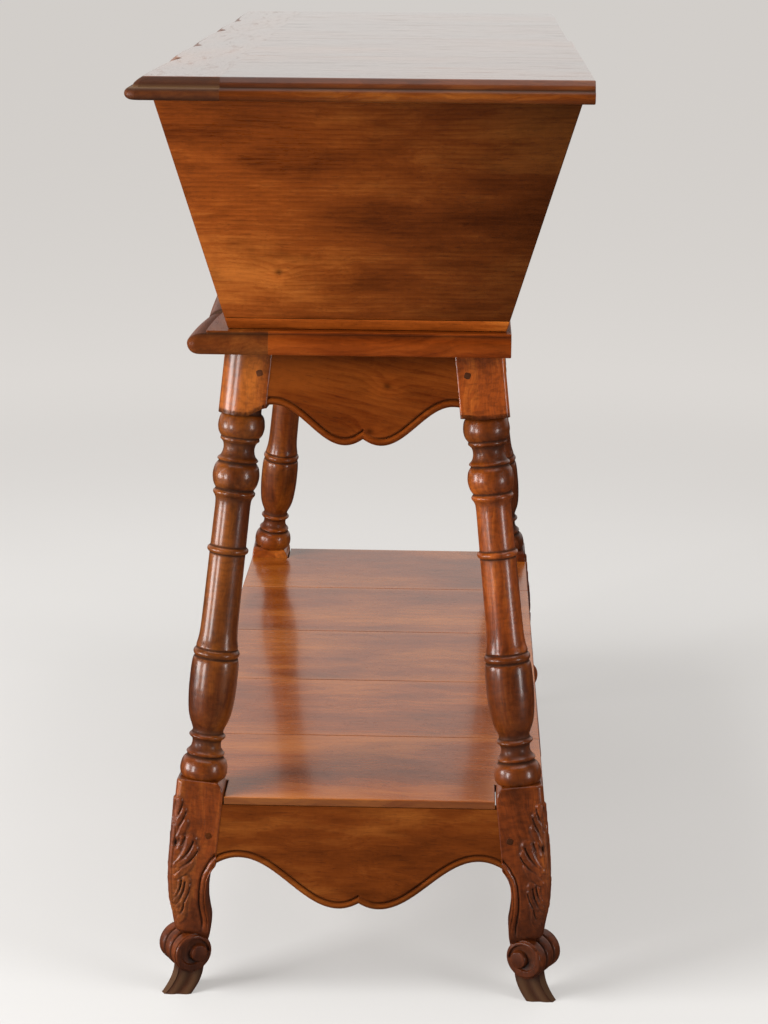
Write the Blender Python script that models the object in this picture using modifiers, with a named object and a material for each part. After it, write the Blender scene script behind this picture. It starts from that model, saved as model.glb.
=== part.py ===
"""Dough bin table: a tapered dough trough with a hinged lid, on a splayed stand with turned legs.

Metres, +Z up. X runs along the table, the scalloped front faces -Y and the plain back faces +Y.
The origin is on the floor under the middle of the lid.
"""
import math
from collections import namedtuple

import bmesh
import bpy
from mathutils import Matrix, Vector

# Clearances
GAP = 0.0003
OVERLAP = 0.002
FLAT_ANGLE = 0.0005

# Heights of the stand and of what is stacked on it
SHELF_HEIGHT = 0.2215
SHELF_THICKNESS = 0.0085
STAND_HEIGHT = 0.7065
STAND_TOP_THICKNESS = 0.0245
TROUGH_HEIGHT = 0.2456
LID_THICKNESS = 0.0225

# Stand frame, measured over the outer leg faces at the top of the shelf
FRAME_LENGTH = 1.024
FRAME_DEPTH = 0.396
SPLAY_DEG = 6.13
LEG_SQUARE = 0.052
LEG_CORNER_RADIUS = 0.016
LEG_ARRIS = 0.002
UPPER_BLOCK = 0.067
BLOCK_ABOVE_SHELF = 0.0135
BLOCK_SHOULDER = 0.012
BLOCK_SHOULDER_INSET = 0.007
TURNING_SEGMENTS = 12

# Foot: cabriole shank, scroll roll and pad, set out from the leg axis at the top of the lower block
FOOT_TURN_DEG = 30.0
KNEE_HEIGHT = 0.156
HOLLOW_HEIGHT = 0.134
HOLLOW_IN = 0.0187
SHANK_HEIGHT = 0.112
SHANK_IN = 0.0193
SHANK_OUT = 0.0212
ANKLE_HEIGHT = 0.087
ANKLE_IN = 0.0252
ANKLE_OUT = 0.0138
HEEL_TAPER = 0.006
SCROLL_REACH = 0.0233
SCROLL_HEIGHT = 0.0500
SCROLL_RADIUS = 0.0220
SCROLL_WIDTH = 0.046
SCROLL_GROOVE = 0.0025
EYE_RADIUS = 0.009
EYE_PROUD = 0.003
PAD_HEIGHT = 0.034
PAD_TOE_REACH = 0.0505
PAD_HEEL_REACH = 0.024
PAD_TOE_WIDTH = 0.009
PAD_HEEL_WIDTH = 0.037
PAD_FLARE = 0.0165
PAD_HEEL_TAPER = 0.005

# Aprons and their joints
APRON_THICKNESS = 0.020
APRON_SETBACK = 0.0008
TENON_THICKNESS = 0.008
TENON_LENGTH = 0.022
TENON_SHOULDER = 0.010
UPPER_ARCH_DEPTH = 0.0565
UPPER_LOBE_DEPTH = 0.0985
UPPER_CUSP_DEPTH = 0.0855
UPPER_LOBE_OFFSET = 0.0190
UPPER_ARCH_INSET = 0.0090
UPPER_ARCH_DROP = 0.0010
LOWER_ARCH_DEPTH = 0.0590
LOWER_LOBE_DEPTH = 0.1140
LOWER_CUSP_DEPTH = 0.1015
LOWER_LOBE_OFFSET = 0.0215
LOWER_ARCH_INSET = 0.0270
LOWER_ARCH_DROP = 0.0090
LONG_SIDE_LOBE_AT = 0.290
LONG_SIDE_LOBE_FALL = 0.020
LONG_MID_ARCH_AT = 0.165
LONG_MID_ARCH_FALL = 0.006
EDGE_STEPS = 8

# Pegs through the tenons
PEG_RADIUS = 0.004
PEG_LENGTH = 0.027
PEG_PROUD = 0.0006
PEG_FROM_JOINT = 0.0120
UPPER_PEG_DEPTH = 0.0230
LOWER_PEG_DEPTH = 0.0345
PEG_SIDES = 10

# Shelf
SHELF_BOARDS = 5

# Stand top, front and back measured from the middle of the frame
STAND_TOP_LENGTH = 0.972
STAND_TOP_FRONT = 0.183
STAND_TOP_BACK = 0.1535
STAND_TOP_RAIL = 0.085
STAND_TOP_BOARDS = 3
STAND_TOP_FILLET = 0.003
STAND_TOP_FRONT_REACH = 0.021
STAND_TOP_END_REACH = 0.005
STAND_TOP_UNDERCUT = 0.011
STAND_TOP_CUSP = 0.345
STAND_TOP_SCALLOP = 0.009

# Trough, front and back measured from the middle of the frame
TROUGH_TOP_LENGTH = 1.130
TROUGH_TOP_FRONT = 0.204
TROUGH_TOP_BACK = 0.2175
TROUGH_BOTTOM_LENGTH = 0.936
TROUGH_BOTTOM_FRONT = 0.141
TROUGH_BOTTOM_BACK = 0.1485
TROUGH_WALL = 0.020
TROUGH_FLOOR = 0.018
TROUGH_STRIP = 0.0115

# Lid
LID_LENGTH = 1.220
LID_DEPTH = 0.454
LID_RAIL = 0.093
LID_BOARDS = 4
LID_FRONT_REACH = 0.0185
LID_END_REACH = 0.0120
LID_QUIRK_DEPTH = 0.0105
LID_QUIRK = 0.002
LID_UNDERCUT = 0.006
LID_CUSP_INNER = 0.145
LID_CUSP_OUTER = 0.350
LID_SCALLOP = 0.010
SCALLOP_STEPS = 6
NOSE_STEPS = 4

# Lid hinges
HINGE_AT = 0.360
HINGE_LENGTH = 0.075
HINGE_LEAF = 0.0015
HINGE_LEAF_REACH = 0.028
HINGE_BARREL_RADIUS = 0.003
HINGE_PIN_RADIUS = 0.0014
HINGE_PIN_HEAD = 0.002
HINGE_SIDES = 12

# Finishes: linear colour, roughness, metallic
WALNUT = ((0.210, 0.066, 0.019), 0.32, 0.0)
WALNUT_DARK = ((0.110, 0.034, 0.012), 0.36, 0.0)
WALNUT_INSIDE = ((0.300, 0.150, 0.062), 0.60, 0.0)
IRON = ((0.055, 0.050, 0.046), 0.55, 0.9)

# Values that follow from the driving dimensions
SPLAY = math.radians(SPLAY_DEG)
LEAN = math.tan(SPLAY)
LEG_HALF = LEG_SQUARE / 2
SHELF_TOP = SHELF_HEIGHT + GAP + SHELF_THICKNESS
BLOCK_TOP = SHELF_TOP + BLOCK_ABOVE_SHELF
LEG_UP = Vector((-LEAN, -LEAN, 1.0)).normalized()
LEG_OUT_X = Vector((1.0, 0.0, LEAN)).normalized()
LEG_OUT_Y = LEG_UP.cross(LEG_OUT_X)
LEG_FOOT = Vector((
    FRAME_LENGTH / 2 - LEG_HALF / LEG_OUT_X.x + LEAN * SHELF_TOP,
    FRAME_DEPTH / 2 - LEG_HALF / LEG_OUT_Y.y + LEAN * SHELF_TOP,
    0.0))
LEG_FRAME = Matrix.Translation(LEG_FOOT) @ Matrix((LEG_OUT_X, LEG_OUT_Y, LEG_UP)).transposed().to_4x4()
STAND_TOP_Z = STAND_HEIGHT + GAP
TROUGH_Z = STAND_TOP_Z + STAND_TOP_THICKNESS + GAP
TROUGH_TOP_Z = TROUGH_Z + TROUGH_HEIGHT
LID_Z = TROUGH_TOP_Z + GAP
LID_FRONT = -LID_DEPTH / 2
LID_BACK = LID_DEPTH / 2


def clear_scene():
    """Empty the scene."""
    for obj in list(bpy.data.objects):
        bpy.data.objects.remove(obj, do_unlink=True)


def new_collection(name):
    """Make a collection in the scene."""
    collection = bpy.data.collections.new(name)
    bpy.context.scene.collection.children.link(collection)
    return collection


def add_object(name, mesh, collection):
    """Put a mesh in the scene as a named object."""
    obj = bpy.data.objects.new(name, mesh)
    collection.objects.link(obj)
    return obj


def baked_mesh(obj):
    """Mesh of an object with its modifiers applied, at its own transform."""
    bpy.context.view_layer.update()
    graph = bpy.context.evaluated_depsgraph_get()
    mesh = bpy.data.meshes.new_from_object(obj.evaluated_get(graph))
    mesh.transform(obj.matrix_world)
    work = bmesh.new()
    work.from_mesh(mesh)
    bmesh.ops.remove_doubles(work, verts=work.verts, dist=1e-6)
    bmesh.ops.dissolve_limit(work, angle_limit=FLAT_ANGLE, verts=work.verts, edges=work.edges)
    bmesh.ops.recalc_face_normals(work, faces=work.faces)
    work.to_mesh(mesh)
    work.free()
    return mesh


def bake(obj):
    """Replace an object's mesh with its evaluated mesh and drop its modifiers."""
    mesh = baked_mesh(obj)
    obj.modifiers.clear()
    obj.matrix_world = Matrix.Identity(4)
    obj.data = mesh
    return obj


def as_cutter(obj):
    """Mark an object as a cutter that isn't part of the model."""
    obj.hide_render = True
    obj.display_type = "WIRE"
    return obj


def boolean(target, tool, operation):
    """Add an exact Boolean of the tool to the target."""
    modifier = target.modifiers.new(tool.name, "BOOLEAN")
    modifier.operation = operation
    modifier.solver = "EXACT"
    modifier.object = tool
    as_cutter(tool)


def slab(name, outline, thickness, collection, frame=Matrix.Identity(4)):
    """Flat board of a closed outline in its own XY plane, from Z = 0 to its thickness, set in a frame."""
    curve = bpy.data.curves.new(name, "CURVE")
    curve.dimensions = "2D"
    curve.fill_mode = "BOTH"
    curve.extrude = thickness / 2
    spline = curve.splines.new("POLY")
    spline.points.add(len(outline) - 1)
    for point, (x, y) in zip(spline.points, outline):
        point.co = (x, y, 0.0, 1.0)
    spline.use_cyclic_u = True
    flat = add_object(name + "_outline", curve, collection)
    flat.matrix_world = frame @ Matrix.Translation((0.0, 0.0, thickness / 2))
    mesh = baked_mesh(flat)
    bpy.data.objects.remove(flat, do_unlink=True)
    return add_object(name, mesh, collection)


def box(name, low, high, collection, frame=Matrix.Identity(4)):
    """Rectangular block between two corners, set in a frame."""
    return tapered_box(name, low[:2] + high[:2], low[2], low[:2] + high[:2], high[2], collection, frame)


def tapered_box(name, base, base_z, top, top_z, collection, frame=Matrix.Identity(4)):
    """Cube primitive drawn out to a base rectangle and a top rectangle (x0, y0, x1, y1)."""
    work = bmesh.new()
    bmesh.ops.create_cube(work, size=1.0)
    for vert in work.verts:
        rect = top if vert.co.z > 0 else base
        x = rect[2] if vert.co.x > 0 else rect[0]
        y = rect[3] if vert.co.y > 0 else rect[1]
        vert.co = (x, y, top_z if vert.co.z > 0 else base_z)
    mesh = bpy.data.meshes.new(name)
    work.to_mesh(mesh)
    work.free()
    mesh.transform(frame)
    return add_object(name, mesh, collection)


def rod(name, start, end, radius, sides, collection):
    """Round rod between two points."""
    start, end = Vector(start), Vector(end)
    work = bmesh.new()
    bmesh.ops.create_cone(
        work, cap_ends=True, segments=sides, radius1=radius, radius2=radius, depth=(end - start).length)
    mesh = bpy.data.meshes.new(name)
    work.to_mesh(mesh)
    work.free()
    turn = (end - start).to_track_quat("Z", "Y").to_matrix().to_4x4()
    mesh.transform(Matrix.Translation((start + end) / 2) @ turn)
    return add_object(name, mesh, collection)


def turned(name, profile, segments, collection, frame):
    """Turned piece: (radius, height) points from top to bottom, spun about the frame's Z axis."""
    mesh = bpy.data.meshes.new(name)
    points = [(0.0, 0.0, profile[0][1])] + [(r, 0.0, z) for r, z in profile] + [(0.0, 0.0, profile[-1][1])]
    mesh.from_pydata(points, [(i, i + 1) for i in range(len(points) - 1)], [])
    obj = add_object(name, mesh, collection)
    screw = obj.modifiers.new("spin", "SCREW")
    screw.steps = segments
    screw.render_steps = segments
    screw.use_merge_vertices = True
    screw.merge_threshold = 0.00001
    obj.matrix_world = frame
    return bake(obj)


def loft(name, rings, collection, frame=Matrix.Identity(4)):
    """Solid between like rings of points, closed by a flat face at each end."""
    work = bmesh.new()
    loops = [[work.verts.new(point) for point in ring] for ring in rings]
    count = len(rings[0])
    for lower, upper in zip(loops, loops[1:]):
        for i in range(count):
            j = (i + 1) % count
            work.faces.new((lower[i], lower[j], upper[j], upper[i]))
    work.faces.new(loops[0])
    work.faces.new(loops[-1])
    bmesh.ops.recalc_face_normals(work, faces=work.faces)
    mesh = bpy.data.meshes.new(name)
    work.to_mesh(mesh)
    work.free()
    mesh.transform(frame)
    return add_object(name, mesh, collection)


def mirrored(name, source, axes, collection):
    """Copy of a piece reflected across the planes X = 0 and Y = 0, as the signs in axes say."""
    mesh = source.data.copy()
    mesh.transform(Matrix.Diagonal((axes[0], axes[1], 1.0, 1.0)))
    if axes[0] * axes[1] < 0:
        mesh.flip_normals()
    return add_object(name, mesh, collection)


def finish(obj, look, smooth=False):
    """Give a piece its own material, and smooth shading where it is round."""
    colour, roughness, metallic = look
    material = bpy.data.materials.new(obj.name)
    material.use_nodes = True
    shader = material.node_tree.nodes["Principled BSDF"]
    shader.inputs["Base Color"].default_value = (*colour, 1.0)
    shader.inputs["Roughness"].default_value = roughness
    shader.inputs["Metallic"].default_value = metallic
    obj.data.materials.clear()
    obj.data.materials.append(material)
    if smooth:
        obj.data.shade_smooth()
        obj.data.set_sharp_from_angle(angle=math.radians(35))


def rounded_rectangle(low, high, corner, arris, steps=3):
    """Rectangle whose (+x, +y) corner has a large radius and whose other corners have a small one."""
    corners = ((high[0], high[1], corner, 0), (low[0], high[1], arris, 1),
               (low[0], low[1], arris, 2), (high[0], low[1], arris, 3))
    points = []
    for x, y, radius, quarter in corners:
        inward = (quarter + 0.5) * math.pi / 2
        centre_x = x - math.copysign(radius, math.cos(inward))
        centre_y = y - math.copysign(radius, math.sin(inward))
        for step in range(steps + 1):
            angle = (quarter + step / steps) * math.pi / 2
            points.append((centre_x + radius * math.cos(angle), centre_y + radius * math.sin(angle)))
    return points


def leg_profile():
    """Radii down the turned part of a leg, as (radius, height along the leg), top to bottom.

    The upper beads hang from the upper block and the lower beads stand on the lower block,
    so the plain column between them takes up any change of height.
    """
    top = (STAND_HEIGHT - UPPER_BLOCK) / LEG_UP.z
    base = BLOCK_TOP / LEG_UP.z
    from_top = [
        (0.0210, -OVERLAP), (0.0210, 0.0020), (0.0240, 0.0070), (0.0250, 0.0150), (0.0238, 0.0220),
        (0.0205, 0.0270), (0.0200, 0.0310), (0.0165, 0.0360), (0.0165, 0.0430), (0.0190, 0.0500),
        (0.0220, 0.0530), (0.0195, 0.0560), (0.0238, 0.0620), (0.0250, 0.0700), (0.0236, 0.0780),
        (0.0205, 0.0830), (0.0224, 0.0870), (0.0200, 0.0930), (0.0186, 0.1010), (0.0190, 0.1430),
        (0.0217, 0.1460), (0.0217, 0.1510), (0.0190, 0.1540)]
    from_base = [
        (0.0203, 0.1700), (0.0222, 0.1520), (0.0245, 0.1460), (0.0235, 0.1430), (0.0250, 0.1400),
        (0.0248, 0.1340), (0.0258, 0.1120), (0.0245, 0.0860), (0.0205, 0.0650), (0.0172, 0.0560),
        (0.0202, 0.0500), (0.0160, 0.0440), (0.0165, 0.0370), (0.0208, 0.0310), (0.0190, 0.0275),
        (0.0246, 0.0190), (0.0250, 0.0130), (0.0222, 0.0040), (0.0215, -OVERLAP)]
    return [(r, top - d) for r, d in from_top] + [(r, base + d) for r, d in from_base]


def shank_rings():
    """Sections of the lower block and the cabriole shank, in the leg's own frame, top to bottom."""
    half = LEG_HALF
    levels = ((BLOCK_TOP, half - BLOCK_SHOULDER_INSET, half), (BLOCK_TOP - BLOCK_SHOULDER, half, half),
              (KNEE_HEIGHT, half, half), (HOLLOW_HEIGHT, HOLLOW_IN, half - LEG_ARRIS),
              (SHANK_HEIGHT, SHANK_IN, SHANK_OUT), (ANKLE_HEIGHT, ANKLE_IN, ANKLE_OUT),
              (SCROLL_HEIGHT + SCROLL_RADIUS / 2, ANKLE_IN, ANKLE_OUT),
              (SCROLL_HEIGHT - SCROLL_RADIUS / 2, ANKLE_IN - HEEL_TAPER, ANKLE_OUT))
    rings = []
    for height, inner, outer in levels:
        ring = rounded_rectangle((-inner, -inner), (outer, outer), LEG_CORNER_RADIUS / 2, LEG_ARRIS)
        rings.append([(x, y, height / LEG_UP.z) for x, y in ring])
    return rings


def foot_frame():
    """Frame of a foot: X along its toe, Y across it, Z up, on the floor under the leg axis at the block."""
    turn = math.radians(FOOT_TURN_DEG)
    toe = Vector((math.sin(turn), math.cos(turn), 0.0))
    across = Vector((-math.cos(turn), math.sin(turn), 0.0))
    axis = LEG_FOOT + LEG_UP * (BLOCK_TOP / LEG_UP.z)
    place = Matrix.Translation((axis.x, axis.y, 0.0))
    return place @ Matrix((toe, across, Vector((0.0, 0.0, 1.0)))).transposed().to_4x4()


def scroll_profile():
    """Radii along the scroll's roll from one eye to the other, with a groove round each end."""
    half = SCROLL_WIDTH / 2
    rim = SCROLL_RADIUS - SCROLL_GROOVE
    one_end = [(EYE_RADIUS, half + EYE_PROUD), (EYE_RADIUS, half), (rim, half), (SCROLL_RADIUS, half * 0.72),
               (rim, half * 0.45), (SCROLL_RADIUS, half * 0.2)]
    return one_end + [(r, -z) for r, z in reversed(one_end)]


def pad_rings():
    """Foot pad sections in the foot's frame, top to bottom: a small flared toe."""
    rings = []
    for up, in_share in ((1.0, 1.0), (0.4, 0.65), (0.0, 0.0)):
        height = PAD_HEIGHT * up
        heel = PAD_HEEL_REACH - PAD_FLARE * in_share
        toe = PAD_TOE_REACH - PAD_FLARE * in_share
        wide = (PAD_HEEL_WIDTH - PAD_HEEL_TAPER * in_share) / 2
        narrow = (PAD_TOE_WIDTH + PAD_HEEL_TAPER * in_share) / 2
        corners = ((heel, -wide), (toe, -narrow), (toe, narrow), (heel, wide))
        rings.append([(along, across, height) for along, across in corners])
    return rings


def apron_frame(along_x):
    """Frame of an apron's outer face: X along the rail, Y up the face, Z outwards, from the floor."""
    face = LEG_FOOT + (LEG_OUT_Y if along_x else LEG_OUT_X) * (LEG_HALF - APRON_SETBACK)
    up = math.cos(SPLAY)
    if along_x:
        out = Vector((0.0, up, math.sin(SPLAY)))
        run = Vector((-1.0, 0.0, 0.0))
        origin = Vector((0.0, face.y + face.z * LEAN, 0.0))
    else:
        out = Vector((up, 0.0, math.sin(SPLAY)))
        run = Vector((0.0, 1.0, 0.0))
        origin = Vector((face.x + face.z * LEAN, 0.0, 0.0))
    return Matrix.Translation(origin) @ Matrix((run, out.cross(run), out)).transposed().to_4x4()


def shoulder(along_x, height):
    """Half length of an apron at a height up its face, up to the inner face of the leg."""
    reach = LEG_FOOT.x if along_x else LEG_FOOT.y
    return reach - LEG_HALF / math.cos(SPLAY) - GAP - math.sin(SPLAY) * height


def ease(start, end, share):
    """Value between two levels along half a cosine wave."""
    return start + (end - start) * (1 - math.cos(math.pi * share)) / 2


def apron_edge(along_x, top, arch, lobe, cusp, offset, inset, drop):
    """Half of an apron's scalloped lower edge, from the middle cusp out to the leg.

    Each stretch between an arch and a lobe is half a cosine wave, the rise to the cusp and the fall
    beside the leg are parabolas. A long apron has a side lobe and a middle arch between them.
    """
    end = shoulder(along_x, top - arch - drop)
    keys = [(offset, top - lobe)]
    if along_x:
        keys.append((LONG_MID_ARCH_AT, top - arch - LONG_MID_ARCH_FALL))
        keys.append((LONG_SIDE_LOBE_AT, top - arch - LONG_SIDE_LOBE_FALL))
    keys.append((end - inset, top - arch))
    points = []
    for step in range(EDGE_STEPS // 2):
        share = 1 - step / (EDGE_STEPS // 2)
        points.append((offset * (1 - share), top - lobe + (lobe - cusp) * share ** 2))
    for (u0, h0), (u1, h1) in zip(keys, keys[1:]):
        for step in range(EDGE_STEPS):
            share = step / EDGE_STEPS
            points.append((u0 + (u1 - u0) * share, ease(h0, h1, share)))
    for step in range(EDGE_STEPS // 2 + 1):
        share = step / (EDGE_STEPS // 2)
        points.append((end - inset * (1 - share), top - arch - drop * share ** 2))
    return points


def tenon_outline(along_x, low, high, extra):
    """Tenon bar outline through the whole apron, grown by a margin."""
    half = shoulder(along_x, high) + TENON_LENGTH + extra
    return [(-half, low - extra), (half, low - extra), (half, high + extra), (-half, high + extra)]


def peg_points(along_x, height, proud, length):
    """Ends of the peg at an apron's +end, from outside the leg face inwards, in the apron's frame."""
    u = shoulder(along_x, height) + PEG_FROM_JOINT
    side = -u if along_x else u
    return (side, height, APRON_SETBACK + proud), (side, height, APRON_SETBACK - length)


def build_apron(name, along_x, top_z, sizes, peg_depth, parts, cutters):
    """One apron on the +Y side (along X) or the +X end, with its tenon bar and peg holes."""
    frame = apron_frame(along_x)
    rise = 1 / math.cos(SPLAY)
    top = top_z * rise
    arch, lobe, cusp, offset, inset, drop = sizes
    half = apron_edge(along_x, top, arch, lobe, cusp, offset, inset, drop)
    lower = [(-u, h) for u, h in reversed(half[1:])] + half
    upper = [(shoulder(along_x, top), top), (-shoulder(along_x, top), top)]
    thick = Matrix.Translation((0.0, 0.0, -APRON_THICKNESS))
    apron = slab(name, lower + upper, APRON_THICKNESS, parts, frame @ thick)
    low, high = top - arch - drop + TENON_SHOULDER, top - TENON_SHOULDER
    middle = (APRON_THICKNESS + TENON_THICKNESS) / 2
    bar_place = frame @ Matrix.Translation((0.0, 0.0, -middle))
    bar = slab(name + "_tenons", tenon_outline(along_x, low, high, 0.0), TENON_THICKNESS, cutters, bar_place)
    boolean(apron, bar, "UNION")
    mortise_place = frame @ Matrix.Translation((0.0, 0.0, -middle - GAP))
    mortise = slab(name + "_mortise", tenon_outline(along_x, low, high, GAP),
                   TENON_THICKNESS + 2 * GAP, cutters, mortise_place)
    outer, inner = peg_points(along_x, top - peg_depth, OVERLAP, PEG_LENGTH + GAP)
    hole = rod(name + "_peg_hole", frame @ Vector(outer), frame @ Vector(inner), PEG_RADIUS + GAP, PEG_SIDES,
               cutters)
    flip = (-1.0, 1.0) if along_x else (1.0, -1.0)
    other_hole = mirrored(name + "_peg_hole_2", hole, flip, cutters)
    boolean(apron, hole, "DIFFERENCE")
    boolean(apron, other_hole, "DIFFERENCE")
    outer, inner = peg_points(along_x, top - peg_depth, PEG_PROUD, PEG_LENGTH)
    peg = rod(name + "_peg", frame @ Vector(outer), frame @ Vector(inner), PEG_RADIUS, PEG_SIDES, cutters)
    as_cutter(peg)
    return bake(apron), mortise, hole, peg


def build_leg(mortises, holes, parts, cutters):
    """The back right leg: blocks, turning, cabriole shank, scroll and pad joined, then cut for its joints."""
    block_low = (STAND_HEIGHT - UPPER_BLOCK) / LEG_UP.z
    block_high = (STAND_HEIGHT + LEG_SQUARE) / LEG_UP.z
    square = rounded_rectangle((-LEG_HALF, -LEG_HALF), (LEG_HALF, LEG_HALF), LEG_CORNER_RADIUS, LEG_ARRIS)
    place = LEG_FRAME @ Matrix.Translation((0.0, 0.0, block_low))
    leg = slab("leg_back_right", square, block_high - block_low, parts, place)
    foot = foot_frame()
    along_roll = Matrix.Translation((SCROLL_REACH, 0.0, SCROLL_HEIGHT)) @ Matrix.Rotation(math.pi / 2, 4, "X")
    joined = (
        turned("leg_turning", leg_profile(), TURNING_SEGMENTS, cutters, LEG_FRAME),
        loft("leg_shank", shank_rings(), cutters, LEG_FRAME),
        turned("leg_scroll", scroll_profile(), TURNING_SEGMENTS, cutters, foot @ along_roll),
        loft("leg_pad", pad_rings(), cutters, foot))
    for piece in joined:
        boolean(leg, piece, "UNION")
    reach = FRAME_LENGTH
    upright = box("leg_trim", (-reach, -reach, 0.0), (reach, reach, STAND_HEIGHT), cutters)
    boolean(leg, upright, "INTERSECT")
    for cutter in (*mortises, *holes):
        boolean(leg, cutter, "DIFFERENCE")
    return bake(leg)


def build_stand(parts, cutters):
    """Legs, aprons and pegs, made in one corner and reflected to the others."""
    upper = (UPPER_ARCH_DEPTH, UPPER_LOBE_DEPTH, UPPER_CUSP_DEPTH, UPPER_LOBE_OFFSET, UPPER_ARCH_INSET,
             UPPER_ARCH_DROP)
    lower = (LOWER_ARCH_DEPTH, LOWER_LOBE_DEPTH, LOWER_CUSP_DEPTH, LOWER_LOBE_OFFSET, LOWER_ARCH_INSET,
             LOWER_ARCH_DROP)
    levels = (("upper", STAND_HEIGHT, upper, UPPER_PEG_DEPTH),
              ("lower", SHELF_HEIGHT, lower, LOWER_PEG_DEPTH))
    sides = (("back", True, "front", (1.0, -1.0)), ("right", False, "left", (-1.0, 1.0)))
    mortises, holes, pegs = [], [], []
    for level, top, sizes, peg_depth in levels:
        for side, along_x, other, flip in sides:
            name = f"{level}_apron_{side}"
            apron, mortise, hole, peg = build_apron(name, along_x, top, sizes, peg_depth, parts, cutters)
            finish(apron, WALNUT)
            finish(mirrored(f"{level}_apron_{other}", apron, flip, parts), WALNUT)
            mortises.append(mortise)
            holes.append(hole)
            pegs.append((f"{level}_{'side' if along_x else 'end'}_peg", peg))
    leg = build_leg(mortises, holes, parts, cutters)
    finish(leg, WALNUT, smooth=True)
    corners = (("back_right", (1.0, 1.0)), ("back_left", (-1.0, 1.0)), ("front_right", (1.0, -1.0)),
               ("front_left", (-1.0, -1.0)))
    for corner, flip in corners:
        if corner != "back_right":
            finish(mirrored(f"leg_{corner}", leg, flip, parts), WALNUT, smooth=True)
        for name, peg in pegs:
            finish(mirrored(f"{name}_{corner}", peg, flip, parts), WALNUT_DARK, smooth=True)


def build_shelf(parts, cutters):
    """Shelf boards from end to end, the two end boards notched round the leg blocks."""
    width = (FRAME_LENGTH - (SHELF_BOARDS - 1) * GAP) / SHELF_BOARDS
    low_z = SHELF_HEIGHT + GAP
    half = LEG_HALF + GAP
    for index in range(SHELF_BOARDS):
        start = -FRAME_LENGTH / 2 + index * (width + GAP)
        board = box(f"shelf_board_{index + 1}", (start, -FRAME_DEPTH / 2, low_z),
                    (start + width, FRAME_DEPTH / 2, SHELF_TOP), parts)
        if index in (0, SHELF_BOARDS - 1):
            side = -1.0 if index == 0 else 1.0
            notch = box(f"shelf_notch_{index}", (-half, -half, 0.0), (LEG_SQUARE, LEG_SQUARE, STAND_HEIGHT),
                        cutters, LEG_FRAME)
            for end in (-1.0, 1.0):
                corner = mirrored(f"shelf_notch_{index}_{end:+.0f}", notch, (side, end), cutters)
                boolean(board, corner, "DIFFERENCE")
            bpy.data.objects.remove(notch, do_unlink=True)
            bake(board)
        finish(board, WALNUT)


def nose(reach, low, high, undercut):
    """Rounded nose from its upper edge to its lower edge: half an ellipse of the given reach."""
    middle, radius = (low + high) / 2, (high - low) / 2
    points = []
    for step in range(NOSE_STEPS + 1):
        angle = math.pi / 2 - math.pi * step / NOSE_STEPS
        back = undercut if angle > 0 else reach * 0.4
        points.append((reach - back * (1 - math.cos(angle)), middle + radius * math.sin(angle)))
    return points


def lid_edge(reach):
    """Lid moulding, outwards from the top edge and down: a rounded slope, a quirk and a nose."""
    top = LID_Z + LID_THICKNESS
    step = LID_Z + LID_THICKNESS - LID_QUIRK_DEPTH
    shoulder_out = reach - LID_UNDERCUT
    return [(0.0, top), (shoulder_out * 0.6, top - LID_QUIRK_DEPTH * 0.35), (shoulder_out, step + LID_QUIRK),
            (shoulder_out, step)] + nose(reach, LID_Z, step - GAP, LID_UNDERCUT * 0.8)


def stand_top_edge(reach):
    """Stand top moulding, outwards from the top edge and down: a fillet and a thumb."""
    top = STAND_TOP_Z + STAND_TOP_THICKNESS
    step = top - STAND_TOP_FILLET
    undercut = min(STAND_TOP_UNDERCUT, reach * 0.8)
    return [(0.0, top), (0.0, step)] + nose(reach, STAND_TOP_Z, step - GAP, undercut)


def scallop(x, cusps, half, depth):
    """How far the front edge is drawn in at x: a parabola from cusp to cusp, and half of one to the corner."""
    across = abs(x)
    bounds = [-cusps[0], *cusps]
    for start, end in zip(bounds, bounds[1:]):
        if across <= end:
            share = (across - start) / (end - start)
            return depth * (2 * share - 1) ** 2
    share = (across - cusps[-1]) / (half - cusps[-1])
    return depth * (1 - min(share, 1.0)) ** 2


def scallop_stations(cusps, half):
    """X positions that catch the cusps and the lobes between them."""
    marks = [-half, *[-c for c in reversed(cusps)], *cusps, half]
    stations = []
    for start, end in zip(marks, marks[1:]):
        stations += [start + (end - start) * step / SCALLOP_STEPS for step in range(SCALLOP_STEPS)]
    return stations + [half]


MouldedTop = namedtuple(
    "MouldedTop", "prefix length front back low_z high_z rail boards edge front_reach end_reach cusps scallop")


def build_front_rail(top, end_outline, parts, cutters):
    """Front rail: its moulding lofted along the scalloped edge, then cut to the end moulding."""
    half = top.length / 2
    joint = top.front + top.rail - GAP / 2
    place = Matrix.Translation((0.0, top.back, 0.0)) @ Matrix.Rotation(math.pi / 2, 4, "X")
    ends = slab(top.prefix + "_end_moulding", end_outline, top.back - top.front + OVERLAP, cutters, place)
    rings = []
    for x in scallop_stations(top.cusps, half + OVERLAP):
        line = top.front + top.front_reach + scallop(x, top.cusps, half, top.scallop)
        ring = [(x, joint, top.high_z)] + [(x, line - out, z) for out, z in top.edge(top.front_reach)]
        rings.append(ring + [(x, joint, top.low_z)])
    rail = loft(top.prefix + "_front_rail", rings, parts)
    boolean(rail, ends, "INTERSECT")
    finish(bake(rail), WALNUT_DARK, smooth=True)


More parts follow.
